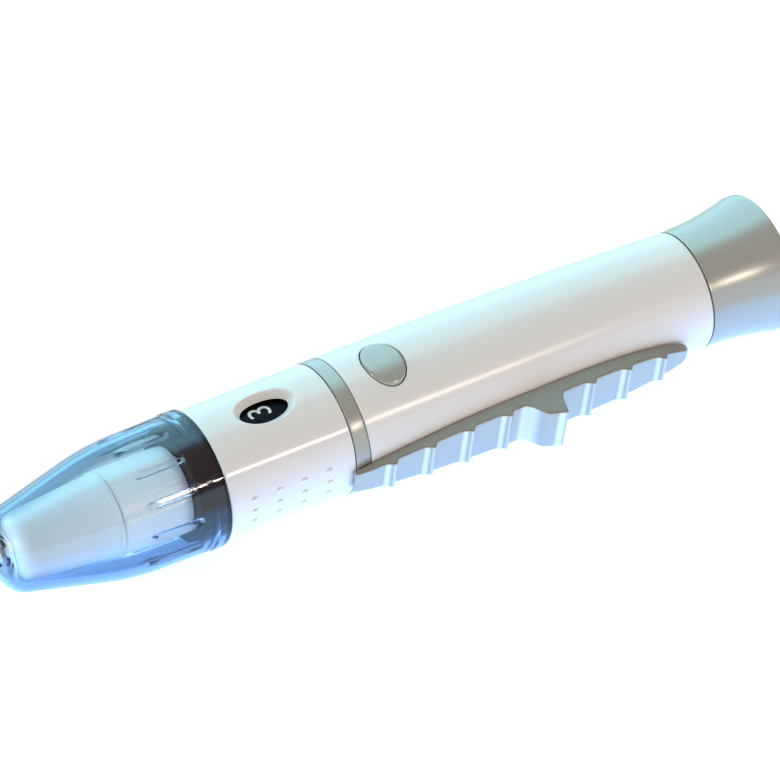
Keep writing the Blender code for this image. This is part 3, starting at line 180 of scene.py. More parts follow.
# Cocking knob and its end plate
KNOB_RIM_RADIUS = 8.35 * MM
KNOB_RIM_LENGTH = 0.9 * MM
KNOB_FLARE = 2.2
KNOB_WALL = 1.1 * MM
KNOB_FRONT_WALL = 1.5 * MM
KNOB_RINGS = 32
SCREW_HOLE = 1.1 * MM
END_PLATE_LEDGE = 0.3 * MM
END_PLATE_DISH = 0.25 * MM
DISH_FLAT_TO = 0.55
DISH_RUN = 0.2
DISH_DRAWN_TO = 0.8
DISH_RINGS = 24

# Ejector slide
SLIDE_HALF_WIDTH = 2.9 * MM
SLIDE_LEAST_HALF_WIDTH = 0.12 * MM
SLIDE_FRONT_HALF_WIDTH = 1.5 * MM
SLIDE_WIDEST_FROM = 19.9 * MM
SLIDE_WIDEST_TO = 25.9 * MM
SLIDE_FRONT_TAPER = 1.7
SLIDE_REAR_TAPER = 2.4
SLIDE_CLEARANCE = 0.25 * MM
SLIDE_FRONT_HEIGHT = 0.95 * MM
SLIDE_MID_HEIGHT = 1.5 * MM
SLIDE_REAR_HEIGHT = 1.6 * MM
SLIDE_NOSE_HEIGHT = 0.4 * MM
SLIDE_NOSE_LENGTH = 2.2 * MM
SLIDE_END_ROUND = 1.2 * MM
SLIDE_EDGE_ROUND = 0.22 * MM
SLIDE_STATIONS = 420
SLIDE_SIDE_STEPS = 5
SLIDE_SHOULDER_STEPS = 4
SLIDE_BACK_STEPS = 10
# Faces turned this far to the sides take the darker lacquer as painted shade; back faces past the
# next value take the lacquer with painted highlight
SHADED_WALL_FACING = 0.7
SLIDE_BACK_FACING = 0.1
EJECT_TRAVEL = 5.0 * MM
RIB_PITCH = 5.0 * MM
RIB_HEIGHT = 0.6 * MM
RIB_RAMP = 1.4 * MM
RIB_FALL = 0.7 * MM
RIB_HOLLOW = 1.6
FRONT_RIB_AT = 4.6 * MM
FRONT_RIBS = 4
REAR_RIB_AT = 30.9 * MM
REAR_RIBS = 3
RIB_CRESTS = [FRONT_RIB_AT + i * RIB_PITCH for i in range(FRONT_RIBS)]
RIB_CRESTS += [REAR_RIB_AT + i * RIB_PITCH for i in range(REAR_RIBS)]
HOOK_AT = 25.9 * MM
HOOK_RADIUS = 12.3 * MM
HOOK_RAMP = 4.1 * MM
HOOK_FALL = 1.5 * MM
HOOK_EDGE = 0.35 * MM
HOOK_BLUNT = 0.09
HOOK_FALL_CURVE = 3
SLIDE_OVERHANG = 0.6 * MM
SLIDE_SHORTER = 0.4 * MM
# Bands of painted highlight along the slide's back: width, places on the ribs' ramps and crests,
# crest strength
HIGHLIGHT_WIDTH = 0.26 * MM
HIGHLIGHT_RAMP_AT = 0.55
HIGHLIGHT_CREST_AT = 0.05
HIGHLIGHT_CREST_MOST = 0.7
LUG_LENGTH = 4.0 * MM
LUG_WIDTH = 1.8 * MM
LUG_FOOT = 4.63 * MM
LUG_SET_BACK = 24.9 * MM
LUG_GAP = 0.15 * MM
RAIL_WIDTH = 1.2 * MM
RAIL_TOP = INNER_BORE - RUN_GAP

# Pieces that keep their CAD form
KEPT_PLASTIC = (
    "chassis",
    "lancet_carrier",
    "plunger_rod",
    "sear_lever",
    "knob_stem",
    "rear_bush",
    "ejector_pusher",
)
KEPT_STEEL = (
    "click_ring",
    "sear_pin",
    "knob_screw",
    "drive_spring",
    "return_spring",
    "knob_spring",
    "sear_spring",
    "ejector_spring",
)

# Lacquers: the two colours that each wanders between, and how fine its mottle is
LACQUER = ((0.40, 0.415, 0.39), (0.42, 0.435, 0.41), 1500)
# Brighter lacquer, painted highlight: laid on the slide's rib ramps, crests and hook
HIGHLIGHT_LACQUER = ((0.66, 0.69, 0.68), (0.74, 0.77, 0.76), 1500)
# Darker lacquer, painted shade: laid on the slide's side walls, which sit in the barrel's shade
SHADED_WALL_LACQUER = ((0.250, 0.235, 0.200), (0.275, 0.255, 0.220), 1500)

# Clear plastic's tint, from a face seen straight on (low) to one seen edge on (high)
CLEAR_STOPS = (
    (0.17, (0.97, 0.985, 1.0)),
    (0.34, (0.34, 0.42, 0.48)),
    (0.48, (0.08, 0.14, 0.21)),
    (0.90, (0.20, 0.40, 0.70)),
)

# Light table under the pen: a cool bright strip along it, white further out
FLOOR_SIZE = 6
GLOW_NEAR = 11 * MM
GLOW_FAR = 19 * MM
NEAR_GLOW = (0.9, 1.4, 2.3)
FAR_GLOW = (0.86, 0.86, 0.87)

# Broad cool light above and behind the pen: its direction, how far it reaches, its colour
SKY_WAY = (0.1, 0.613, 0.784)
SKY_EDGE = 0.58
SKY_FULL = 0.80
SKY_GLOW = (1.2, 2.15, 2.45)

# Colours of the surroundings, from the horizon and all below it (0) to straight up (1)
SURROUND_STOPS = (
    (0.0, (0.12, 0.11, 0.12)),
    (0.06, (0.45, 0.285, 0.195)),
    (0.5, (0.47, 0.312, 0.22)),
    (1.0, (0.52, 0.39, 0.31)),
)

# Area lamps: azimuth, elevation (degrees), distance, (width, height) in metres, power, colour
LAMPS = {
    "tip_softbox": (-88, 8, 0.6, (0.18, 0.18), 0.9, (0.70, 0.92, 1.0)),
    "warm_strip": (22, 11, 0.7, (0.17, 0.034), 0.6, (1.0, 0.86, 0.72)),
}

# The pen's own axes, read from the joints: button, slide and length
JOINTS = {joint["name"]: joint for joint in frame["joints"]}
BUTTON_WAY = -Vector(JOINTS["button_press"]["axis"])
ALONG = Vector(JOINTS["cock_pull"]["axis"])
SLIDE_WAY = ALONG.cross(BUTTON_WAY)
AXIS_POINT = Vector(JOINTS["depth_turn"]["pos_m"])
BARREL_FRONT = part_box("barrel")[0].x
PEN = Matrix((BUTTON_WAY, SLIDE_WAY, ALONG)).transposed().to_4x4()
PEN.translation = Vector((BARREL_FRONT, AXIS_POINT.y, AXIS_POINT.z))


def ends(node):
    """Front and rear of a node along the pen, from the barrel's front face."""
    low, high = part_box(node)
    return low.x - BARREL_FRONT, high.x - BARREL_FRONT


# Small helpers


def spread(start, end, steps):
    return [start + (end - start) * i / steps for i in range(steps + 1)]


def smooth_step(share):
    share = min(max(share, 0), 1)
    return share * share * (3 - 2 * share)


def rounded(corners):
    """Outline through (x, y) corners. A corner with a third value, a radius, is an arc."""
    points = []
    count = len(corners)
    for i, corner in enumerate(corners):
        here = Vector(corner[:2])
        if len(corner) < 3:
            points.append(here)
            continue
        before = (Vector(corners[i - 1][:2]) - here).normalized()
        after = (Vector(corners[(i + 1) % count][:2]) - here).normalized()
        half = before.angle(after) / 2
        centre = here + (before + after).normalized() * corner[2] / math.sin(half)
        reach = corner[2] / math.tan(half)
        start = here + before * reach - centre
        turn = (here + after * reach - centre).angle_signed(start)
        for step in range(ARC_STEPS + 1):
            arm = start.copy()
            arm.rotate(Matrix.Rotation(turn * step / ARC_STEPS, 2))
            points.append(centre + arm)
    return points


def mesh_from(name, work):
    """Weld and close the work mesh, and lay it into the pen's place in the frame."""
    bmesh.ops.remove_doubles(work, verts=work.verts, dist=WELD)
    bmesh.ops.recalc_face_normals(work, faces=work.faces)
    mesh = bpy.data.meshes.new(name)
    work.to_mesh(mesh)
    work.free()
    mesh.transform(PEN)
    mesh.shade_smooth()
    mesh.set_sharp_from_angle(angle=SHARP_ANGLE)
    return mesh


def lathe(profile, steps, shape):
    """A closed skin turned about Z from (radius, z) points; shape, if any, moves a radius."""
    work = bmesh.new()
    rings = []
    for i in range(steps):
        angle = math.tau * i / steps
        ring = []
        for radius, z in profile:
            if shape:
                radius = shape(radius, z, angle)
            ring.append(work.verts.new((radius * math.cos(angle), radius * math.sin(angle), z)))
        rings.append(ring)
    count = len(profile)
    for i, ring in enumerate(rings):
        following = rings[(i + 1) % steps]
        for k in range(count):
            n = (k + 1) % count
            work.faces.new((ring[k], following[k], following[n], ring[n]))
    return work


def turned(name, corners, shape=None):
    """The mesh of a form turned about the pen's axis, from its outline's corners."""
    return mesh_from(name, lathe(rounded(corners), STEPS, shape))


def loft(sections):
    """A closed skin through rings of equally many points, with flat ends."""
    work = bmesh.new()
    rings = [[work.verts.new(point) for point in section] for section in sections]
    count = len(sections[0])
    for ring, following in zip(rings, rings[1:]):
        for k in range(count):
            n = (k + 1) % count
            work.faces.new((ring[k], following[k], following[n], ring[n]))
    work.faces.new(rings[0])
    work.faces.new(rings[-1])
    return work


def wrapped_oval(rings, at, length, width, steps):
    """A cutter through (radius, out) rings of an oval that is wrapped round the axis."""
    sections = []
    for radius, out in rings:
        section = []
        for i in range(steps):
            turn = math.tau * i / steps
            along = at + (length / 2 + out) * math.cos(turn)
            across = (width / 2 + out) * math.sin(turn)
            section.append((math.sqrt(max(radius**2 - across**2, 0)), across, along))
        sections.append(section)
    return loft(sections)


def add_block(work, middle, size):
    """A box, its middle and its full size given as (x, y, z)."""
    place = Matrix.Translation(middle) @ Matrix.Diagonal((*size, 1))
    bmesh.ops.create_cube(work, size=1, matrix=place)


def round_rib(angle, ribs, shift, radius, width):
    """1 on the middle of one of the evenly spaced ribs, 0 between them."""
    turn = (angle * ribs / math.tau + shift) % 1 - 0.5
    across = abs(turn) * math.tau / ribs * radius
    return smooth_step(1.5 - across / (width / 2))


def add_piece(name, mesh, material, body, replaced=()):
    piece = bpy.data.objects.new(name, mesh)
    bpy.context.scene.collection.objects.link(piece)
    mesh.materials.append(material)
    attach(piece, body)
    if replaced:
        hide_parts(*replaced)
    return piece


def cut(mesh, cutter_work, name):
    """The mesh with the cutter's form taken out of it."""
    holder = bpy.data.objects.new(name, mesh)
    tool = bpy.data.objects.new(name + "_tool", mesh_from(name + "_tool", cutter_work))
    for obj in (holder, tool):
        bpy.context.scene.collection.objects.link(obj)
    boolean = holder.modifiers.new("cut", "BOOLEAN")
    boolean.operation = "DIFFERENCE"
    boolean.solver = "EXACT"
    boolean.object = tool
    graph = bpy.context.evaluated_depsgraph_get()
    result = bpy.data.meshes.new_from_object(holder.evaluated_get(graph))
    bpy.data.objects.remove(holder)
    bpy.data.objects.remove(tool)
    result.shade_smooth()
    result.set_sharp_from_angle(angle=SHARP_ANGLE)
    return result


# Materials


def shader_of(material):
    return material.node_tree.nodes["Principled BSDF"]


def new_material(name, metallic=0.0):
    material = bpy.data.materials.new(name)
    material.use_nodes = True
    shader_of(material).inputs["Metallic"].default_value = metallic
    return material


def add_mix(tree):
    mix = tree.nodes.new("ShaderNodeMix")
    mix.data_type = "RGBA"
    return mix


def add_smooth_span(tree, low, high):
    """A node that gives 0 up to low, 1 from high on and an eased value between."""
    span = tree.nodes.new("ShaderNodeMapRange")
    span.interpolation_type = "SMOOTHSTEP"
    span.inputs["From Min"].default_value = low
    span.inputs["From Max"].default_value = high
    return span


def fill_ramp(ramp, stops):
    """Give a new colour ramp its (position, colour) stops."""
    for element, (position, colour) in zip(ramp.elements, (stops[0], stops[-1])):
        element.position = position
        element.color = (*colour, 1)
    for position, colour in stops[1:-1]:
        ramp.elements.new(position).color = (*colour, 1)


def noise(material, scale, detail=2.0):
    nodes, links = material.node_tree.nodes, material.node_tree.links
    place = nodes.new("ShaderNodeTexCoord")
    texture = nodes.new("ShaderNodeTexNoise")
    texture.inputs["Scale"].default_value = scale
    texture.inputs["Detail"].default_value = detail
    links.new(place.outputs["Object"], texture.inputs["Vector"])
    return texture.outputs["Fac"]


def varied(material, low, high, scale):
    """A colour that wanders softly between two."""
    mix = add_mix(material.node_tree)
    mix.inputs["A"].default_value = (*low, 1)
    mix.inputs["B"].default_value = (*high, 1)
    material.node_tree.links.new(noise(material, scale), mix.inputs["Factor"])
    return mix.outputs["Result"]


def vary_colour(material, low, high, scale):
    colour = varied(material, low, high, scale)
    material.node_tree.links.new(colour, shader_of(material).inputs["Base Color"])


def vary_roughness(material, low, high, scale):
    nodes, links = material.node_tree.nodes, material.node_tree.links
    span = nodes.new("ShaderNodeMapRange")
    span.inputs["To Min"].default_value = low
    span.inputs["To Max"].default_value = high
    links.new(noise(material, scale, 4.0), span.inputs["Value"])
    links.new(span.outputs["Result"], shader_of(material).inputs["Roughness"])


def roughen(material, scale, height, strength=0.3):
    nodes, links = material.node_tree.nodes, material.node_tree.links
    bump = nodes.new("ShaderNodeBump")
    bump.inputs["Strength"].default_value = strength
    bump.inputs["Distance"].default_value = height
    links.new(noise(material, scale, 3.0), bump.inputs["Height"])
    links.new(bump.outputs["Normal"], shader_of(material).inputs["Normal"])


def white_plastic(name, roughness):
    material = new_material(name)
    vary_colour(material, (0.79, 0.79, 0.79), (0.82, 0.82, 0.82), 90)
    vary_roughness(material, roughness - 0.02, roughness + 0.03, 260)
    roughen(material, 900, 0.001 * MM, 0.2)
    return material


def liner_plastic():
    material = new_material("milky_plastic")
    vary_colour(material, (0.80, 0.85, 0.85), (0.84, 0.88, 0.88), 120)
    vary_roughness(material, 0.24, 0.36, 300)
    shader = shader_of(material)
    shader.inputs["Subsurface Weight"].default_value = 0.15
    shader.inputs["Subsurface Radius"].default_value = (1.0, 1.0, 1.0)
    shader.inputs["Subsurface Scale"].default_value = 0.4 * MM
    return material


def black_plastic(name, roughness):
    material = new_material(name)
    vary_colour(material, (0.004, 0.006, 0.012), (0.007, 0.009, 0.017), 150)
    shader_of(material).inputs["Specular IOR Level"].default_value = 0.08
    vary_roughness(material, roughness - 0.03, roughness + 0.04, 300)
    return material


def silver_lacquer():
    material = new_material("silver_grey_lacquer", metallic=0.3)
    vary_colour(material, *LACQUER)
    vary_roughness(material, 0.22, 0.28, 1500)
    roughen(material, 2400, 0.001 * MM, 0.12)
    return material


def rubbed_lacquer():
    """The same lacquer, brightened as painted highlight where the mesh's per-point value marks the
    ribs and hook that catch the light.
    """
    material = new_material("silver_lacquer_painted_highlight", metallic=0.3)
    links = material.node_tree.links
    painted_highlight = material.node_tree.nodes.new("ShaderNodeAttribute")
    painted_highlight.attribute_name = "painted_highlight"
    mix = add_mix(material.node_tree)
    links.new(painted_highlight.outputs["Fac"], mix.inputs["Factor"])
    links.new(varied(material, *LACQUER), mix.inputs["A"])
    links.new(varied(material, *HIGHLIGHT_LACQUER), mix.inputs["B"])
    links.new(mix.outputs["Result"], shader_of(material).inputs["Base Color"])
    vary_roughness(material, 0.18, 0.26, 1500)
    return material


def wall_lacquer():
    """The lacquer of the slide's side walls, rougher and darkened as painted shade."""
    material = new_material("silver_lacquer_painted_shade", metallic=0.2)
    vary_colour(material, *SHADED_WALL_LACQUER)
    vary_roughness(material, 0.36, 0.46, 1500)
    return material


def clear_plastic():
    material = new_material("clear_blue_plastic")
    vary_roughness(material, 0.0, 0.02, 400)
    nodes, links = material.node_tree.nodes, material.node_tree.links
    shader = shader_of(material)
    facing = nodes.new("ShaderNodeLayerWeight")
    facing.inputs["Blend"].default_value = 0.5
    ramp = nodes.new("ShaderNodeValToRGB")
    ramp.color_ramp.interpolation = "EASE"
    fill_ramp(ramp.color_ramp, CLEAR_STOPS)
    links.new(facing.outputs["Facing"], ramp.inputs["Fac"])
    links.new(ramp.outputs["Color"], shader.inputs["Base Color"])
    shader.inputs["Specular IOR Level"].default_value = 0.3
    shader.inputs["Transmission Weight"].default_value = 1.0
    shader.inputs["IOR"].default_value = 1.43
    absorption = nodes.new("ShaderNodeVolumeAbsorption")
    absorption.inputs["Color"].default_value = (0.2, 0.5, 0.76, 1)
    absorption.inputs["Density"].default_value = 220.0
    links.new(absorption.outputs["Volume"], nodes["Material Output"].inputs["Volume"])
    return material


def number_paint():
    material = new_material("white_number_paint")
    vary_colour(material, (0.82, 0.84, 0.84), (0.88, 0.9, 0.9), 800)
    shader_of(material).inputs["Roughness"].default_value = 0.45
    return material


def natural_plastic():
    material = new_material("natural_engineering_plastic")
    vary_colour(material, (0.66, 0.66, 0.62), (0.74, 0.74, 0.70), 200)
    vary_roughness(material, 0.38, 0.52, 500)
    roughen(material, 2200, 0.01 * MM)
    return material


def spring_steel():
    material = new_material("spring_steel", metallic=1.0)
    vary_colour(material, (0.50, 0.50, 0.50), (0.60, 0.60, 0.60), 3000)
    vary_roughness(material, 0.18, 0.34, 2500)
    return material


# Shells turned about the axis


def barrel_radius(z):
    share = (z - BARREL_BELLY_AT) / (ends("barrel")[1] - BARREL_BELLY_AT)
    return BARREL_RADIUS - (BARREL_RADIUS - BARREL_REAR_RADIUS) * share**2


def cap_outline(inset, cap_front, front):
    """Corners of the cap's outside, or of a wall inset from it, from rear to front."""
    knee = cap_front + CAP_KNEE_SET_BACK
    slope = (CAP_KNEE_RADIUS - CAP_NOSE_RADIUS) / CAP_KNEE_SET_BACK
    nose = CAP_NOSE_RADIUS + slope * (front - cap_front)
    return [
        (CAP_KNEE_RADIUS - inset, knee, CAP_KNEE_ROUND),
        (nose - inset, front, max(CAP_NOSE_ROUND - inset, EDGE_ROUND)),
    ]


def make_clear_cap(material):
    """The cap as one clear skin; its grip ribs are swellings of the inner wall."""
    front, rear = ends("end_cap")
    collar_front = ends("depth_drum")[0]
    rim_front = rear - CAP_RIM_LENGTH
    ribs_rear = collar_front - SEAT_GAP
    ribs_front = ribs_rear - CAP_RIB_LENGTH

    def ribbed(radius, z, angle):
        if radius > CAP_BORE + FINE_ROUND or not ribs_front < z < ribs_rear:
            return radius
        swell = round_rib(angle, CAP_RIBS, 0, CAP_BORE, CAP_RIB_WIDTH)
        fade = min((z - ribs_front) / CAP_RIB_FADE, (ribs_rear - z) / CAP_RIB_REAR_FADE, 1)
        return radius - CAP_RIB_HEIGHT * swell * smooth_step(fade)

    inside = cap_outline(CAP_WALL, front, front + CAP_NOSE_WALL)
    corners = [
        (CAP_RIM_RADIUS, rear, EDGE_ROUND),
        (CAP_RIM_RADIUS, rim_front, EDGE_ROUND / 2),
        (CAP_BASE_RADIUS, rim_front - EDGE_ROUND),
        *cap_outline(0, front, front),
        (CAP_HOLE, front, EDGE_ROUND),
        (CAP_HOLE, front + CAP_NOSE_WALL, EDGE_ROUND / 2),
        *reversed(inside),
        (CAP_BORE, collar_front),
        (CAP_BORE, rear, FINE_ROUND),
    ]
    points = rounded(corners)
    fine = []
    for here, following in zip(points, points[1:] + points[:1]):
        pieces = max(1, round((following - here).length / CAP_FINENESS))
        fine += [here.lerp(following, i / pieces) for i in range(pieces)]
    mesh = mesh_from("clear_cap", lathe(fine, 2 * STEPS, ribbed))
    cap = add_piece("clear_cap", mesh, material, "end_cap", ["end_cap"])
    cap.visible_shadow = False


def make_liner(material):
    front, rear = ends("cap_liner")
    rear -= LINER_SHORTER
    bead_front = rear - LINER_BEAD
    share = (bead_front - front) / (rear - front)
    bead_radius = LINER_FRONT_RADIUS + (LINER_REAR_RADIUS - LINER_FRONT_RADIUS) * share
    corners = [
        (LINER_REAR_RADIUS, rear, FINE_ROUND),
        (LINER_REAR_RADIUS, bead_front, FINE_ROUND),
        (bead_radius - SEAT_GAP, bead_front - FINE_ROUND),
        (LINER_FRONT_RADIUS, front, LINER_NOSE_ROUND),
        (LINER_HOLE, front, FINE_ROUND),
        (LINER_HOLE, front + LINER_WALL),
        (LINER_FRONT_RADIUS - LINER_WALL, front + LINER_WALL),
        (LINER_REAR_RADIUS - LINER_WALL, rear, FINE_ROUND),
    ]
    mesh = turned("liner_cone", corners)
    add_piece("liner_cone", mesh, material, "end_cap", ["cap_liner"])


def pusher_run():
    """Room for the pusher's rail at every place of its travel."""
    half = RAIL_WIDTH / 2 + LUG_GAP
    low = NOSE_TUBE_BORE - LUG_GAP
    high = RAIL_TOP + LUG_GAP
    front = ends("ejector_pusher")[0] - EJECT_TRAVEL - LUG_GAP
    rear = ends("depth_drum")[0] + 2 * COLLAR_WALL + 2 * SEAT_GAP
    middle = (0, (low + high) / 2, (front + rear) / 2)
    run = bmesh.new()
    add_block(run, middle, (2 * half, high - low, rear - front))
    return run


def make_nose(material):
    rear = ends("nose_tube")[1]
    collar_front = ends("depth_drum")[0]
    shoulder = collar_front + COLLAR_WALL + SEAT_GAP
    ribs_front = ends("cap_liner")[1] - LINER_SHORTER + EDGE_ROUND
    ribs_rear = collar_front - EDGE_ROUND

    def ribbed(radius, z, angle):
        if radius < NOSE_WIDE_RADIUS - FINE_ROUND or not ribs_front < z < ribs_rear:
            return radius
        swell = round_rib(angle, NOSE_RIBS, 0.5, NOSE_WIDE_RADIUS, NOSE_RIB_WIDTH)
        fade = min((z - ribs_front), (ribs_rear - z)) / EDGE_ROUND
        return radius + NOSE_RIB_HEIGHT * swell * smooth_step(fade)

    wide = DRUM_BORE - SEAT_GAP
    step = ends("cap_liner")[1] - LINER_SHORTER + SEAT_GAP
    neck = spread(shoulder - EDGE_ROUND, collar_front, NOSE_NECK_RINGS)
    skin = spread(collar_front - EDGE_ROUND, step + 2 * EDGE_ROUND, SKIN_RINGS)
    corners = [
        (wide, rear, FINE_ROUND),
        (wide, shoulder, FINE_ROUND),
        (NOSE_TUBE_RADIUS, shoulder),
        *[(NOSE_TUBE_RADIUS, z) for z in neck],
        (NOSE_WIDE_RADIUS, collar_front - SEAT_GAP, FINE_ROUND),
        *[(NOSE_WIDE_RADIUS, z) for z in skin],
        (NOSE_WIDE_RADIUS, step, EDGE_ROUND),
        (NOSE_TUBE_BORE, step, FINE_ROUND),
        (NOSE_TUBE_BORE, shoulder + COLLAR_WALL),
        (INNER_BORE, shoulder + COLLAR_WALL),
        (INNER_BORE, rear, FINE_ROUND),
    ]
    mesh = cut(turned("ribbed_nose", corners, ribbed), pusher_run(), "ribbed_nose")
    add_piece("ribbed_nose", mesh, material, "barrel", ["nose_tube"])


def make_drum(material, band):
    front, rear = ends("depth_drum")
    sleeve_front = ends("depth_sleeve")[0]
    collar_rear = sleeve_front - RUN_GAP
    land = SLEEVE_BORE - RUN_GAP
    land_front = sleeve_front + DRUM_FRONT_LAND
    land_rear = rear - DRUM_REAR_LAND
    hole = NOSE_TUBE_RADIUS + SEAT_GAP
    corners = [
        (land, rear, FINE_ROUND),
        (land, land_rear, FINE_ROUND),
        (DRUM_NUMBER_RADIUS, land_rear, FINE_ROUND),
        (DRUM_NUMBER_RADIUS, land_front, FINE_ROUND),
        (land, land_front, FINE_ROUND),
        (land, collar_rear),
        (CAP_BORE - RUN_GAP, collar_rear, FINE_ROUND / 2),
        (CAP_BORE - RUN_GAP, front, EDGE_ROUND),
        (hole, front, FINE_ROUND),
        (hole, front + COLLAR_WALL),
        (DRUM_BORE, front + COLLAR_WALL),
        (DRUM_BORE, rear, FINE_ROUND),
    ]
    mesh = cut(turned("number_drum", corners), pusher_run(), "number_drum")
    add_piece("number_drum", mesh, material, "barrel", ["depth_drum"])
    mesh.materials.append(band)
    for face in mesh.polygons:
        if face.center.x - BARREL_FRONT > sleeve_front + FINE_ROUND:
            face.material_index = 1


def make_numbers(material):
    """Raised numbers round the drum, their tops towards the cap."""
    middle = ends("depth_sleeve")[1] - WINDOW_SET_BACK - NUMBER_FORWARD
    for number in NUMBERS:
        text = bpy.data.curves.new(f"number_{number}", "FONT")
        text.body = str(number)
        text.align_x = "CENTER"
        text.align_y = "CENTER"
        text.offset = NUMBER_WEIGHT
        text.extrude = NUMBER_EXTRUDE
        holder = bpy.data.objects.new("text", text)
        bpy.context.scene.collection.objects.link(holder)
        graph = bpy.context.evaluated_depsgraph_get()
        flat = bpy.data.meshes.new_from_object(holder.evaluated_get(graph))
        bpy.data.objects.remove(holder)
        work = bmesh.new()
        work.from_mesh(flat)
        low = min(vert.co.y for vert in work.verts)
        high = max(vert.co.y for vert in work.verts)
        left = min(vert.co.x for vert in work.verts)
        right = max(vert.co.x for vert in work.verts)
        for x in spread(left, right, NUMBER_COLUMNS)[1:-1]:
            every = [*work.verts, *work.edges, *work.faces]
            bmesh.ops.bisect_plane(work, geom=every, plane_co=(x, 0, 0), plane_no=(1, 0, 0))
        size = NUMBER_HEIGHT / (high - low)
        turn = WINDOW_TURN - NUMBER_LIFT + (number - NUMBER_AT_REST) * NUMBER_PITCH
        for vert in work.verts:
            across = (vert.co.x - (left + right) / 2) * size
            along = (vert.co.y - (low + high) / 2) * size
            radius = DRUM_NUMBER_RADIUS + math.copysign(NUMBER_RAISE, vert.co.z)
            angle = turn - across / DRUM_NUMBER_RADIUS
            vert.co = (radius * math.cos(angle), radius * math.sin(angle), middle - along)
        mesh = mesh_from(f"number_{number}", work)
        add_piece(f"number_{number}", mesh, material, "barrel")


def window_cutter(at):
    """The window's funnel, its soft lip of even width all round."""
    slope = math.atan2(SLEEVE_REAR_RADIUS - SLEEVE_BORE, WINDOW_RUN)
    reach = WINDOW_ROUND * math.tan(slope / 2)
    rings = [(SLEEVE_BORE - 2 * WINDOW_ROUND, 0), (SLEEVE_BORE, 0)]
    for turn in spread(slope, 0, WINDOW_LIP_STEPS):
        out = WINDOW_RUN + reach - WINDOW_ROUND * math.sin(turn)
        rings.append((SLEEVE_REAR_RADIUS - WINDOW_ROUND * (1 - math.cos(turn)), out))
    rings.append((SLEEVE_REAR_RADIUS + WINDOW_ROUND, rings[-1][1] + FINE_ROUND))
    work = wrapped_oval(rings, at, WINDOW_LENGTH, WINDOW_WIDTH, WINDOW_STEPS)
    bmesh.ops.rotate(work, verts=work.verts, matrix=Matrix.Rotation(WINDOW_TURN, 3, "Z"))
    return work


def sleeve_radius(z):
    front, rear = ends("depth_sleeve")
    share = (z - front) / (rear - front)
    return SLEEVE_FRONT_RADIUS + (SLEEVE_REAR_RADIUS - SLEEVE_FRONT_RADIUS) * share


def make_sleeve(material):
    front, rear = ends("depth_sleeve")
    skin = spread(rear - 2 * EDGE_ROUND, front + 2 * EDGE_ROUND, SKIN_RINGS)
    corners = [
        (SLEEVE_REAR_RADIUS, rear, FINE_ROUND),
        *[(sleeve_radius(z), z) for z in skin],
        (SLEEVE_FRONT_RADIUS, front, EDGE_ROUND),
        (SLEEVE_BORE, front),
        (SLEEVE_BORE, rear),
    ]
    window = window_cutter(rear - WINDOW_SET_BACK)
    mesh = cut(turned("white_sleeve", corners), window, "white_sleeve")
    add_piece("white_sleeve", mesh, material, "depth_sleeve", ["depth_sleeve"])
    add_dots(mesh, rear)


def add_ball(work, place):
    """A unit ball laid into its place, its faces always in the same order."""
    rings = []
    for i in range(1, DOT_RINGS):
        tilt = math.pi * i / DOT_RINGS
        ring = []
        for k in range(DOT_SEGMENTS):
            turn = math.tau * k / DOT_SEGMENTS
            flat = Vector((math.cos(turn), math.sin(turn), 0)) * math.sin(tilt)
            ring.append(work.verts.new(place @ (flat + Vector((0, 0, math.cos(tilt))))))
        rings.append(ring)
    top = work.verts.new(place @ Vector((0, 0, 1)))
    bottom = work.verts.new(place @ Vector((0, 0, -1)))
    for k in range(DOT_SEGMENTS):
        n = (k + 1) % DOT_SEGMENTS
        work.faces.new((top, rings[0][k], rings[0][n]))
        for ring, following in zip(rings, rings[1:]):
            work.faces.new((ring[k], following[k], following[n], ring[n]))
        work.faces.new((bottom, rings[-1][n], rings[-1][k]))


def add_dots(mesh, rear):
    """Low grip domes, set into the sleeve's skin."""
    work = bmesh.new()
    for column in range(DOT_COLUMNS):
        z = rear - DOT_FIRST - column * DOT_PITCH
        place = Matrix.Translation((sleeve_radius(z) - DOT_HEIGHT, 0, z))
        size = Matrix.Diagonal((2 * DOT_HEIGHT, DOT_WIDTH, DOT_LENGTH, 1))
        for angle in DOT_ANGLES:
            turn = Matrix.Rotation(math.radians(angle), 4, "Z")
            add_ball(work, PEN @ turn @ place @ size)
    for face in work.faces:
        face.smooth = True
    work.from_mesh(mesh)
    work.to_mesh(mesh)
    work.free()


def make_trim_ring(material):
    front, rear = ends("trim_ring")
    bore = SLEEVE_BORE - RUN_GAP + SEAT_GAP
    corners = [
        (TRIM_RADIUS, rear, FINE_ROUND),
        (TRIM_RADIUS, front, FINE_ROUND),
        (bore, front),
        (bore, rear),
    ]
    mesh = turned("silver_ring", corners)
    add_piece("silver_ring", mesh, material, "barrel", ["trim_ring"])


def make_barrel(material):
    front, rear = ends("barrel")
    skin = [(barrel_radius(z), z) for z in spread(rear, front, BARREL_RINGS)[1:-1]]
    corners = [
        (barrel_radius(rear), rear, FINE_ROUND),
        *skin,
        (barrel_radius(front), front, FINE_ROUND),
        (BARREL_BORE, front),
        (BARREL_BORE, rear),
    ]
    mesh = cut(turned("white_barrel", corners), button_hole(FINE_ROUND), "white_barrel")
    lug_at = ends("ejector_slide")[0] + LUG_SET_BACK
    lug_front = lug_at - LUG_LENGTH / 2 - EJECT_TRAVEL - LUG_GAP
    lug_rear = lug_at + LUG_LENGTH / 2 + LUG_GAP
    half = LUG_WIDTH / 2 + LUG_GAP
    middle = (0, BARREL_RADIUS - SLOT_CUT_DROP, (lug_front + lug_rear) / 2)
    slot = bmesh.new()
    add_block(slot, middle, (2 * half, SLOT_CUT_DEPTH, lug_rear - lug_front))
    mesh = cut(mesh, slot, "white_barrel")
    add_piece("white_barrel", mesh, material, "barrel", ["barrel"])


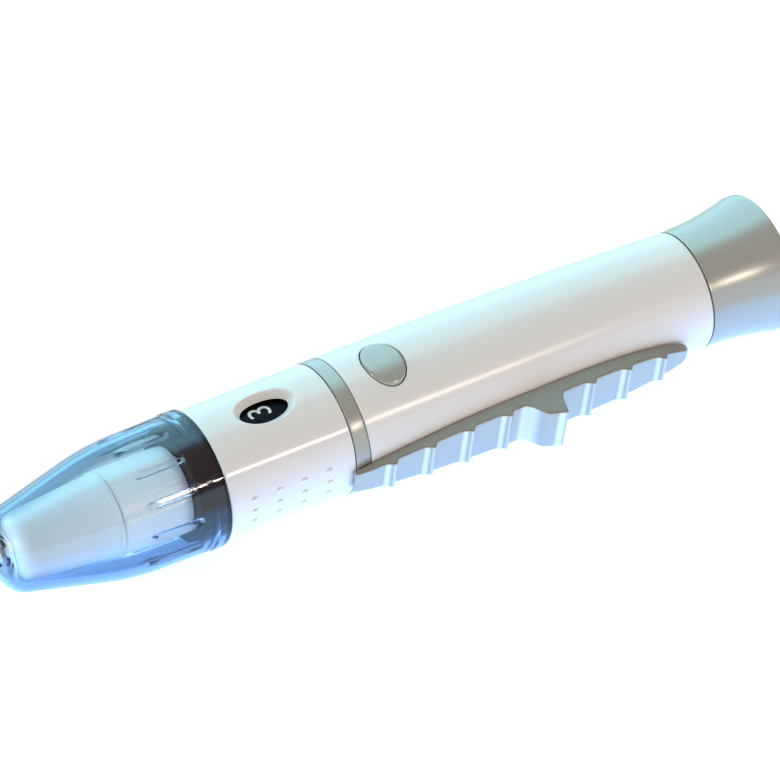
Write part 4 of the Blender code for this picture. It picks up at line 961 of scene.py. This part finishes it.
def button_hole(lip):
    """The button's oval hole, its lip rounded evenly all round."""
    skin = barrel_radius(BUTTON_AT)
    rings = [(BARREL_BORE - CUT_SPARE, 0)]
    for turn in spread(0, BUTTON_LIP_TURN, BUTTON_LIP_STEPS):
        rings.append((skin + lip * (math.sin(turn) - 1), lip * (1 - math.cos(turn))))
    rings.append((skin + CUT_SPARE, 2 * lip))
    return wrapped_oval(rings, BUTTON_AT, BUTTON_LENGTH, BUTTON_WIDTH, BUTTON_STEPS)


# Trigger button


def button_skin(share, turn, drop):
    """A point of the button's domed face: share 1 is its rim, turn runs round it."""
    along = share * (BUTTON_LENGTH / 2 - RUN_GAP) * math.cos(turn)
    across = share * (BUTTON_WIDTH / 2 - RUN_GAP) * math.sin(turn)
    fall = BUTTON_CROWN_ROUND - math.sqrt(BUTTON_CROWN_ROUND**2 - along**2)
    radius = BARREL_RADIUS + BUTTON_CROWN - fall - drop
    deep = math.sqrt(radius**2 - across**2)
    return (deep, across, BUTTON_AT + along)


def make_button(material):
    edge = BUTTON_EDGE / (BUTTON_LENGTH / 2)
    rings = [(share, 0) for share in spread(BUTTON_CENTRE, 1 - edge, BUTTON_RINGS)]
    for turn in spread(0, math.radians(90), BUTTON_EDGE_STEPS)[1:]:
        rings.append((1 - edge * (1 - math.sin(turn)), BUTTON_EDGE * (1 - math.cos(turn))))
    sections = [
        [button_skin(share, math.tau * i / BUTTON_STEPS, drop) for i in range(BUTTON_STEPS)]
        for share, drop in rings
    ]
    rim = sections[-1]
    sections.append([(BUTTON_LOW, across, along) for _, across, along in rim])
    mesh = mesh_from("domed_button", loft(sections))
    add_piece("domed_button", mesh, material, "button", ["trigger_button"])


# Cocking knob and end plate


def make_knob(material):
    front, rear = ends("cocking_knob")
    flare_rear = rear - KNOB_RIM_LENGTH

    def knob_radius(z):
        share = min((z - front) / (flare_rear - front), 1)
        return BARREL_REAR_RADIUS + (KNOB_RIM_RADIUS - BARREL_REAR_RADIUS) * share**KNOB_FLARE

    hollow_front = front + KNOB_FRONT_WALL
    ledge_at = ends("knob_end_plate")[0] - SEAT_GAP
    ledge = KNOB_RIM_RADIUS - KNOB_WALL
    outside = [(knob_radius(z), z) for z in spread(flare_rear, front + EDGE_ROUND, KNOB_RINGS)]
    corners = [
        (KNOB_RIM_RADIUS, rear, EDGE_ROUND),
        *outside,
        (BARREL_REAR_RADIUS, front, FINE_ROUND / 2),
        (SCREW_HOLE, front),
        (SCREW_HOLE, hollow_front),
        (knob_radius(hollow_front) - KNOB_WALL - END_PLATE_LEDGE, hollow_front),
        (ledge - END_PLATE_LEDGE, ledge_at),
        (ledge, ledge_at),
        (ledge, rear, FINE_ROUND),
    ]
    mesh = turned("flared_knob", corners)
    add_piece("flared_knob", mesh, material, "knob", ["cocking_knob"])


def make_end_plate(material):
    """The knob's plate, slightly dished in the middle."""
    front, rear = ends("knob_end_plate")
    radius = KNOB_RIM_RADIUS - KNOB_WALL - SEAT_GAP
    dish = []
    for share in spread(0, DISH_DRAWN_TO, DISH_RINGS):
        depth = END_PLATE_DISH * (1 - smooth_step((share - DISH_FLAT_TO) / DISH_RUN))
        dish.append((radius * share, rear - depth))
    corners = [
        (radius, rear, FINE_ROUND),
        (radius, front),
        (0, front),
        *dish,
    ]
    mesh = turned("dished_plate", corners)
    add_piece("dished_plate", mesh, material, "knob", ["knob_end_plate"])


# Ejector slide


def slide_half_width(z, length):
    """Half the leaf-shaped plan's width, z from the slide's front end."""
    if z < SLIDE_WIDEST_FROM:
        share = 1 - z / SLIDE_WIDEST_FROM
        taper = SLIDE_HALF_WIDTH - SLIDE_FRONT_HALF_WIDTH
        return SLIDE_HALF_WIDTH - taper * share**SLIDE_FRONT_TAPER
    if z > SLIDE_WIDEST_TO:
        share = (z - SLIDE_WIDEST_TO) / (length - SLIDE_WIDEST_TO)
        return SLIDE_HALF_WIDTH * math.sqrt(max(1 - share**SLIDE_REAR_TAPER, 0))
    return SLIDE_HALF_WIDTH


def slide_rise(z, length):
    """Height of the back's even line above the barrel."""
    if z < HOOK_AT:
        return SLIDE_FRONT_HEIGHT + (SLIDE_MID_HEIGHT - SLIDE_FRONT_HEIGHT) * z / HOOK_AT
    share = (z - HOOK_AT) / (length - HOOK_AT)
    return SLIDE_MID_HEIGHT + (SLIDE_REAR_HEIGHT - SLIDE_MID_HEIGHT) * share


def rib_swell(z):
    """Height of the ribs over the even line: a hollow ramp and a steep step behind it."""
    swell = 0
    for crest in RIB_CRESTS:
        if crest - RIB_RAMP <= z <= crest:
            swell = RIB_HEIGHT * ((z - crest + RIB_RAMP) / RIB_RAMP) ** RIB_HOLLOW
        if crest < z < crest + RIB_FALL:
            swell = RIB_HEIGHT * (1 - smooth_step((z - crest) / RIB_FALL))
    return swell


def hook_share(z):
    """0 on the even line, 1 on the hook's crest."""
    ramp = (z - HOOK_AT + HOOK_RAMP) / HOOK_RAMP
    if 0 < ramp <= 1:
        blunt = max(0, (z - HOOK_AT + HOOK_EDGE) / HOOK_EDGE)
        return 0.5 * smooth_step(2 * ramp) + 0.5 * ramp - HOOK_BLUNT * blunt**2
    if HOOK_AT < z < HOOK_AT + HOOK_FALL:
        return (1 - HOOK_BLUNT) * (1 - (z - HOOK_AT) / HOOK_FALL) ** HOOK_FALL_CURVE
    return 0


def slide_back(z, length, start):
    """Radius of the slide's back, z from its front end."""
    barrel = barrel_radius(z + start)
    height = slide_rise(z, length) + rib_swell(z)
    even = barrel + height
    top = even + (HOOK_RADIUS - even) * hook_share(z)
    if z < SLIDE_NOSE_LENGTH:
        nose = barrel + SLIDE_CLEARANCE + SLIDE_NOSE_HEIGHT
        top = nose + (top - nose) * math.sqrt(z / SLIDE_NOSE_LENGTH)
    left = length - z
    if left < SLIDE_END_ROUND:
        top -= SLIDE_END_ROUND - math.sqrt(SLIDE_END_ROUND**2 - (SLIDE_END_ROUND - left) ** 2)
    return top


def slide_section(z, length, start):
    """One cross-section: sides, rounded shoulders, flat back and a hollow underside."""
    half = max(slide_half_width(z, length), SLIDE_LEAST_HALF_WIDTH)
    top = slide_back(z, length, start)
    widest = max(z + start - EJECT_TRAVEL, BARREL_BELLY_AT)
    under = barrel_radius(widest) + SLIDE_CLEARANCE
    low = math.sqrt(under**2 - half**2)
    top = max(top, under + FINE_ROUND)
    edge = min(SLIDE_EDGE_ROUND, half / 2, (top - low) / 3)
    points = [(half, y) for y in spread(low, top - edge, SLIDE_SIDE_STEPS)]
    for turn in spread(0, math.radians(90), SLIDE_SHOULDER_STEPS)[1:]:
        points.append((half - edge + edge * math.cos(turn), top - edge + edge * math.sin(turn)))
    points += [(x, top) for x in spread(half - edge, -half + edge, SLIDE_BACK_STEPS)[1:-1]]
    for turn in spread(math.radians(90), math.radians(180), SLIDE_SHOULDER_STEPS)[:-1]:
        points.append((-half + edge + edge * math.cos(turn), top - edge + edge * math.sin(turn)))
    points += [(-half, y) for y in spread(top - edge, low, SLIDE_SIDE_STEPS)]
    below = spread(-half, half, SLIDE_BACK_STEPS)[1:-1]
    points += [(x, math.sqrt(under**2 - x**2)) for x in below]
    return [(x, y, z + start) for x, y in points]


def rub_share(z):
    """How strong the painted highlight on the back is: most on the ribs' ramps, in the hook's bowl
    and on its lip.
    """
    bands = [
        (HOOK_AT - HOOK_RAMP + HIGHLIGHT_WIDTH, 3 * HIGHLIGHT_WIDTH, 1),
        (HOOK_AT - 3 * HIGHLIGHT_WIDTH, 1.5 * HIGHLIGHT_WIDTH, 1),
    ]
    for crest in RIB_CRESTS:
        bands.append((crest - HIGHLIGHT_RAMP_AT * RIB_RAMP, HIGHLIGHT_WIDTH, 1))
        bands.append((crest - HIGHLIGHT_CREST_AT * RIB_RAMP, HIGHLIGHT_WIDTH / 3, HIGHLIGHT_CREST_MOST))
    return max(most * smooth_step(1.5 - abs(z - middle) / width) for middle, width, most in bands)


def make_slide(material, back_highlight_lacquer, wall_shade_lacquer):
    """The ribbed slide with its lug, painted highlight on its back and painted shade on its side
    walls.
    """
    start, end = ends("ejector_slide")
    lug_at = start + LUG_SET_BACK
    start -= SLIDE_OVERHANG
    length = end - SLIDE_SHORTER - start
    stations = spread(0, length, SLIDE_STATIONS)
    work = loft([slide_section(z, length, start) for z in stations])
    lug_height = BARREL_RADIUS + 2 * SLIDE_CLEARANCE - LUG_FOOT
    lug_middle = (0, (LUG_FOOT + BARREL_RADIUS) / 2, lug_at)
    add_block(work, lug_middle, (LUG_WIDTH, lug_height, LUG_LENGTH))
    mesh = mesh_from("ribbed_slide", work)
    add_piece("ribbed_slide", mesh, material, "ejector", ["ejector_slide"])
    mesh.materials.append(back_highlight_lacquer)
    mesh.materials.append(wall_shade_lacquer)
    # Painted highlight: a per-point value that brightens the lacquer on the ribs' ramps, crests
    # and the hook
    painted_highlight = mesh.attributes.new("painted_highlight", "FLOAT", "POINT")
    for vert, highlight_value in zip(mesh.vertices, painted_highlight.data):
        highlight_value.value = rub_share(vert.co.x - BARREL_FRONT - start)
    # Side walls take the darker lacquer as painted shade; the back takes the lacquer that carries
    # the painted highlight
    for face in mesh.polygons:
        if abs(face.normal.dot(BUTTON_WAY)) > SHADED_WALL_FACING:
            face.material_index = 2
        elif face.normal.dot(SLIDE_WAY) > SLIDE_BACK_FACING:
            face.material_index = 1


# Kept pieces, floor, light and camera


def dress_nodes(nodes, material):
    for node in nodes:
        for slot in frame["nodes"][node].material_slots:
            slot.material = material


def make_floor():
    bpy.ops.mesh.primitive_plane_add(size=FLOOR_SIZE)
    floor = bpy.context.object
    floor.name = "floor"
    material = new_material("pale_floor")
    shader = shader_of(material)
    nodes, links = material.node_tree.nodes, material.node_tree.links
    shader.inputs["Base Color"].default_value = (0.25, 0.25, 0.25, 1)
    shader.inputs["Roughness"].default_value = 0.9
    shader.inputs["Specular IOR Level"].default_value = 0.1
    shader.inputs["Emission Strength"].default_value = 1.0
    place = nodes.new("ShaderNodeTexCoord")
    split = nodes.new("ShaderNodeSeparateXYZ")
    aside = nodes.new("ShaderNodeMath")
    aside.operation = "ABSOLUTE"
    span = add_smooth_span(material.node_tree, GLOW_NEAR, GLOW_FAR)
    mix = add_mix(material.node_tree)
    mix.inputs["A"].default_value = (*NEAR_GLOW, 1)
    mix.inputs["B"].default_value = (*FAR_GLOW, 1)
    links.new(place.outputs["Object"], split.inputs["Vector"])
    links.new(split.outputs["Y"], aside.inputs[0])
    links.new(aside.outputs["Value"], span.inputs["Value"])
    links.new(span.outputs["Result"], mix.inputs["Factor"])
    links.new(mix.outputs["Result"], shader.inputs["Emission Color"])
    floor.data.materials.append(material)


def aim(obj, way, distance, target):
    obj.location = target + way * distance
    obj.rotation_mode = "QUATERNION"
    obj.rotation_quaternion = (-way).to_track_quat("-Z", "Y")


def direction(azimuth, elevation):
    """Unit vector from the object to a place at that azimuth and elevation."""
    flat = math.cos(elevation)
    return Vector((math.sin(azimuth) * flat, -math.cos(azimuth) * flat, math.sin(elevation)))


def add_light(name, azimuth, elevation, distance, size, power, colour):
    light = bpy.data.lights.new(name, "AREA")
    light.shape = "RECTANGLE"
    light.size, light.size_y = size
    light.energy = power
    light.color = colour
    lamp = bpy.data.objects.new(name, light)
    bpy.context.scene.collection.objects.link(lamp)
    aim(lamp, direction(math.radians(azimuth), math.radians(elevation)), distance, PEN.translation)


def make_light():
    world = bpy.data.worlds.new("studio")
    bpy.context.scene.world = world
    world.use_nodes = True
    nodes, links = world.node_tree.nodes, world.node_tree.links
    background = nodes["Background"]
    background.inputs["Strength"].default_value = 1.0
    place = nodes.new("ShaderNodeTexCoord")
    split = nodes.new("ShaderNodeSeparateXYZ")
    ramp = nodes.new("ShaderNodeValToRGB")
    links.new(place.outputs["Generated"], split.inputs["Vector"])
    links.new(split.outputs["Z"], ramp.inputs["Fac"])
    fill_ramp(ramp.color_ramp, SURROUND_STOPS)
    toward = nodes.new("ShaderNodeVectorMath")
    toward.operation = "DOT_PRODUCT"
    toward.inputs[1].default_value = SKY_WAY
    span = add_smooth_span(world.node_tree, SKY_EDGE, SKY_FULL)
    mix = add_mix(world.node_tree)
    mix.inputs["B"].default_value = (*SKY_GLOW, 1)
    links.new(place.outputs["Generated"], toward.inputs[0])
    links.new(toward.outputs["Value"], span.inputs["Value"])
    links.new(span.outputs["Result"], mix.inputs["Factor"])
    links.new(ramp.outputs["Color"], mix.inputs["A"])
    links.new(mix.outputs["Result"], background.inputs["Color"])
    for name, values in LAMPS.items():
        add_light(name, *values)


def make_camera():
    data = bpy.data.cameras.new("camera")
    data.lens = CAMERA_LENS
    data.sensor_width = CAMERA_SENSOR
    data.clip_start = CAMERA_CLIP_START
    data.clip_end = CAMERA_CLIP_END
    camera = bpy.data.objects.new("camera", data)
    bpy.context.scene.collection.objects.link(camera)
    target = PEN @ Vector(CAMERA_AIM)
    aim(camera, direction(CAMERA_AZIMUTH, CAMERA_ELEVATION), CAMERA_DISTANCE, target)
    lean = Matrix.Rotation(-CAMERA_LEAN, 3, "Z").to_quaternion()
    camera.rotation_quaternion = camera.rotation_quaternion @ lean
    bpy.context.scene.camera = camera


def main():
    natural = natural_plastic()
    steel = spring_steel()
    white = white_plastic("gloss_white_plastic", 0.1)
    barrel_white = white_plastic("satin_white_plastic", 0.18)
    silver = silver_lacquer()
    collar = black_plastic("gloss_black_plastic", 0.08)
    band = black_plastic("satin_black_plastic", 0.5)
    milky = liner_plastic()
    make_clear_cap(clear_plastic())
    make_liner(milky)
    make_nose(milky)
    make_drum(collar, band)
    make_numbers(number_paint())
    make_sleeve(white)
    make_trim_ring(silver)
    make_barrel(barrel_white)
    make_button(silver)
    make_knob(silver)
    make_end_plate(silver)
    # The slide's back carries painted highlight, its side walls painted shade
    make_slide(silver, rubbed_lacquer(), wall_lacquer())
    dress_nodes(KEPT_PLASTIC, natural)
    dress_nodes(KEPT_STEEL, steel)
    make_floor()
    make_light()
    make_camera()
    bpy.context.scene.view_settings.view_transform = "Standard"


main()
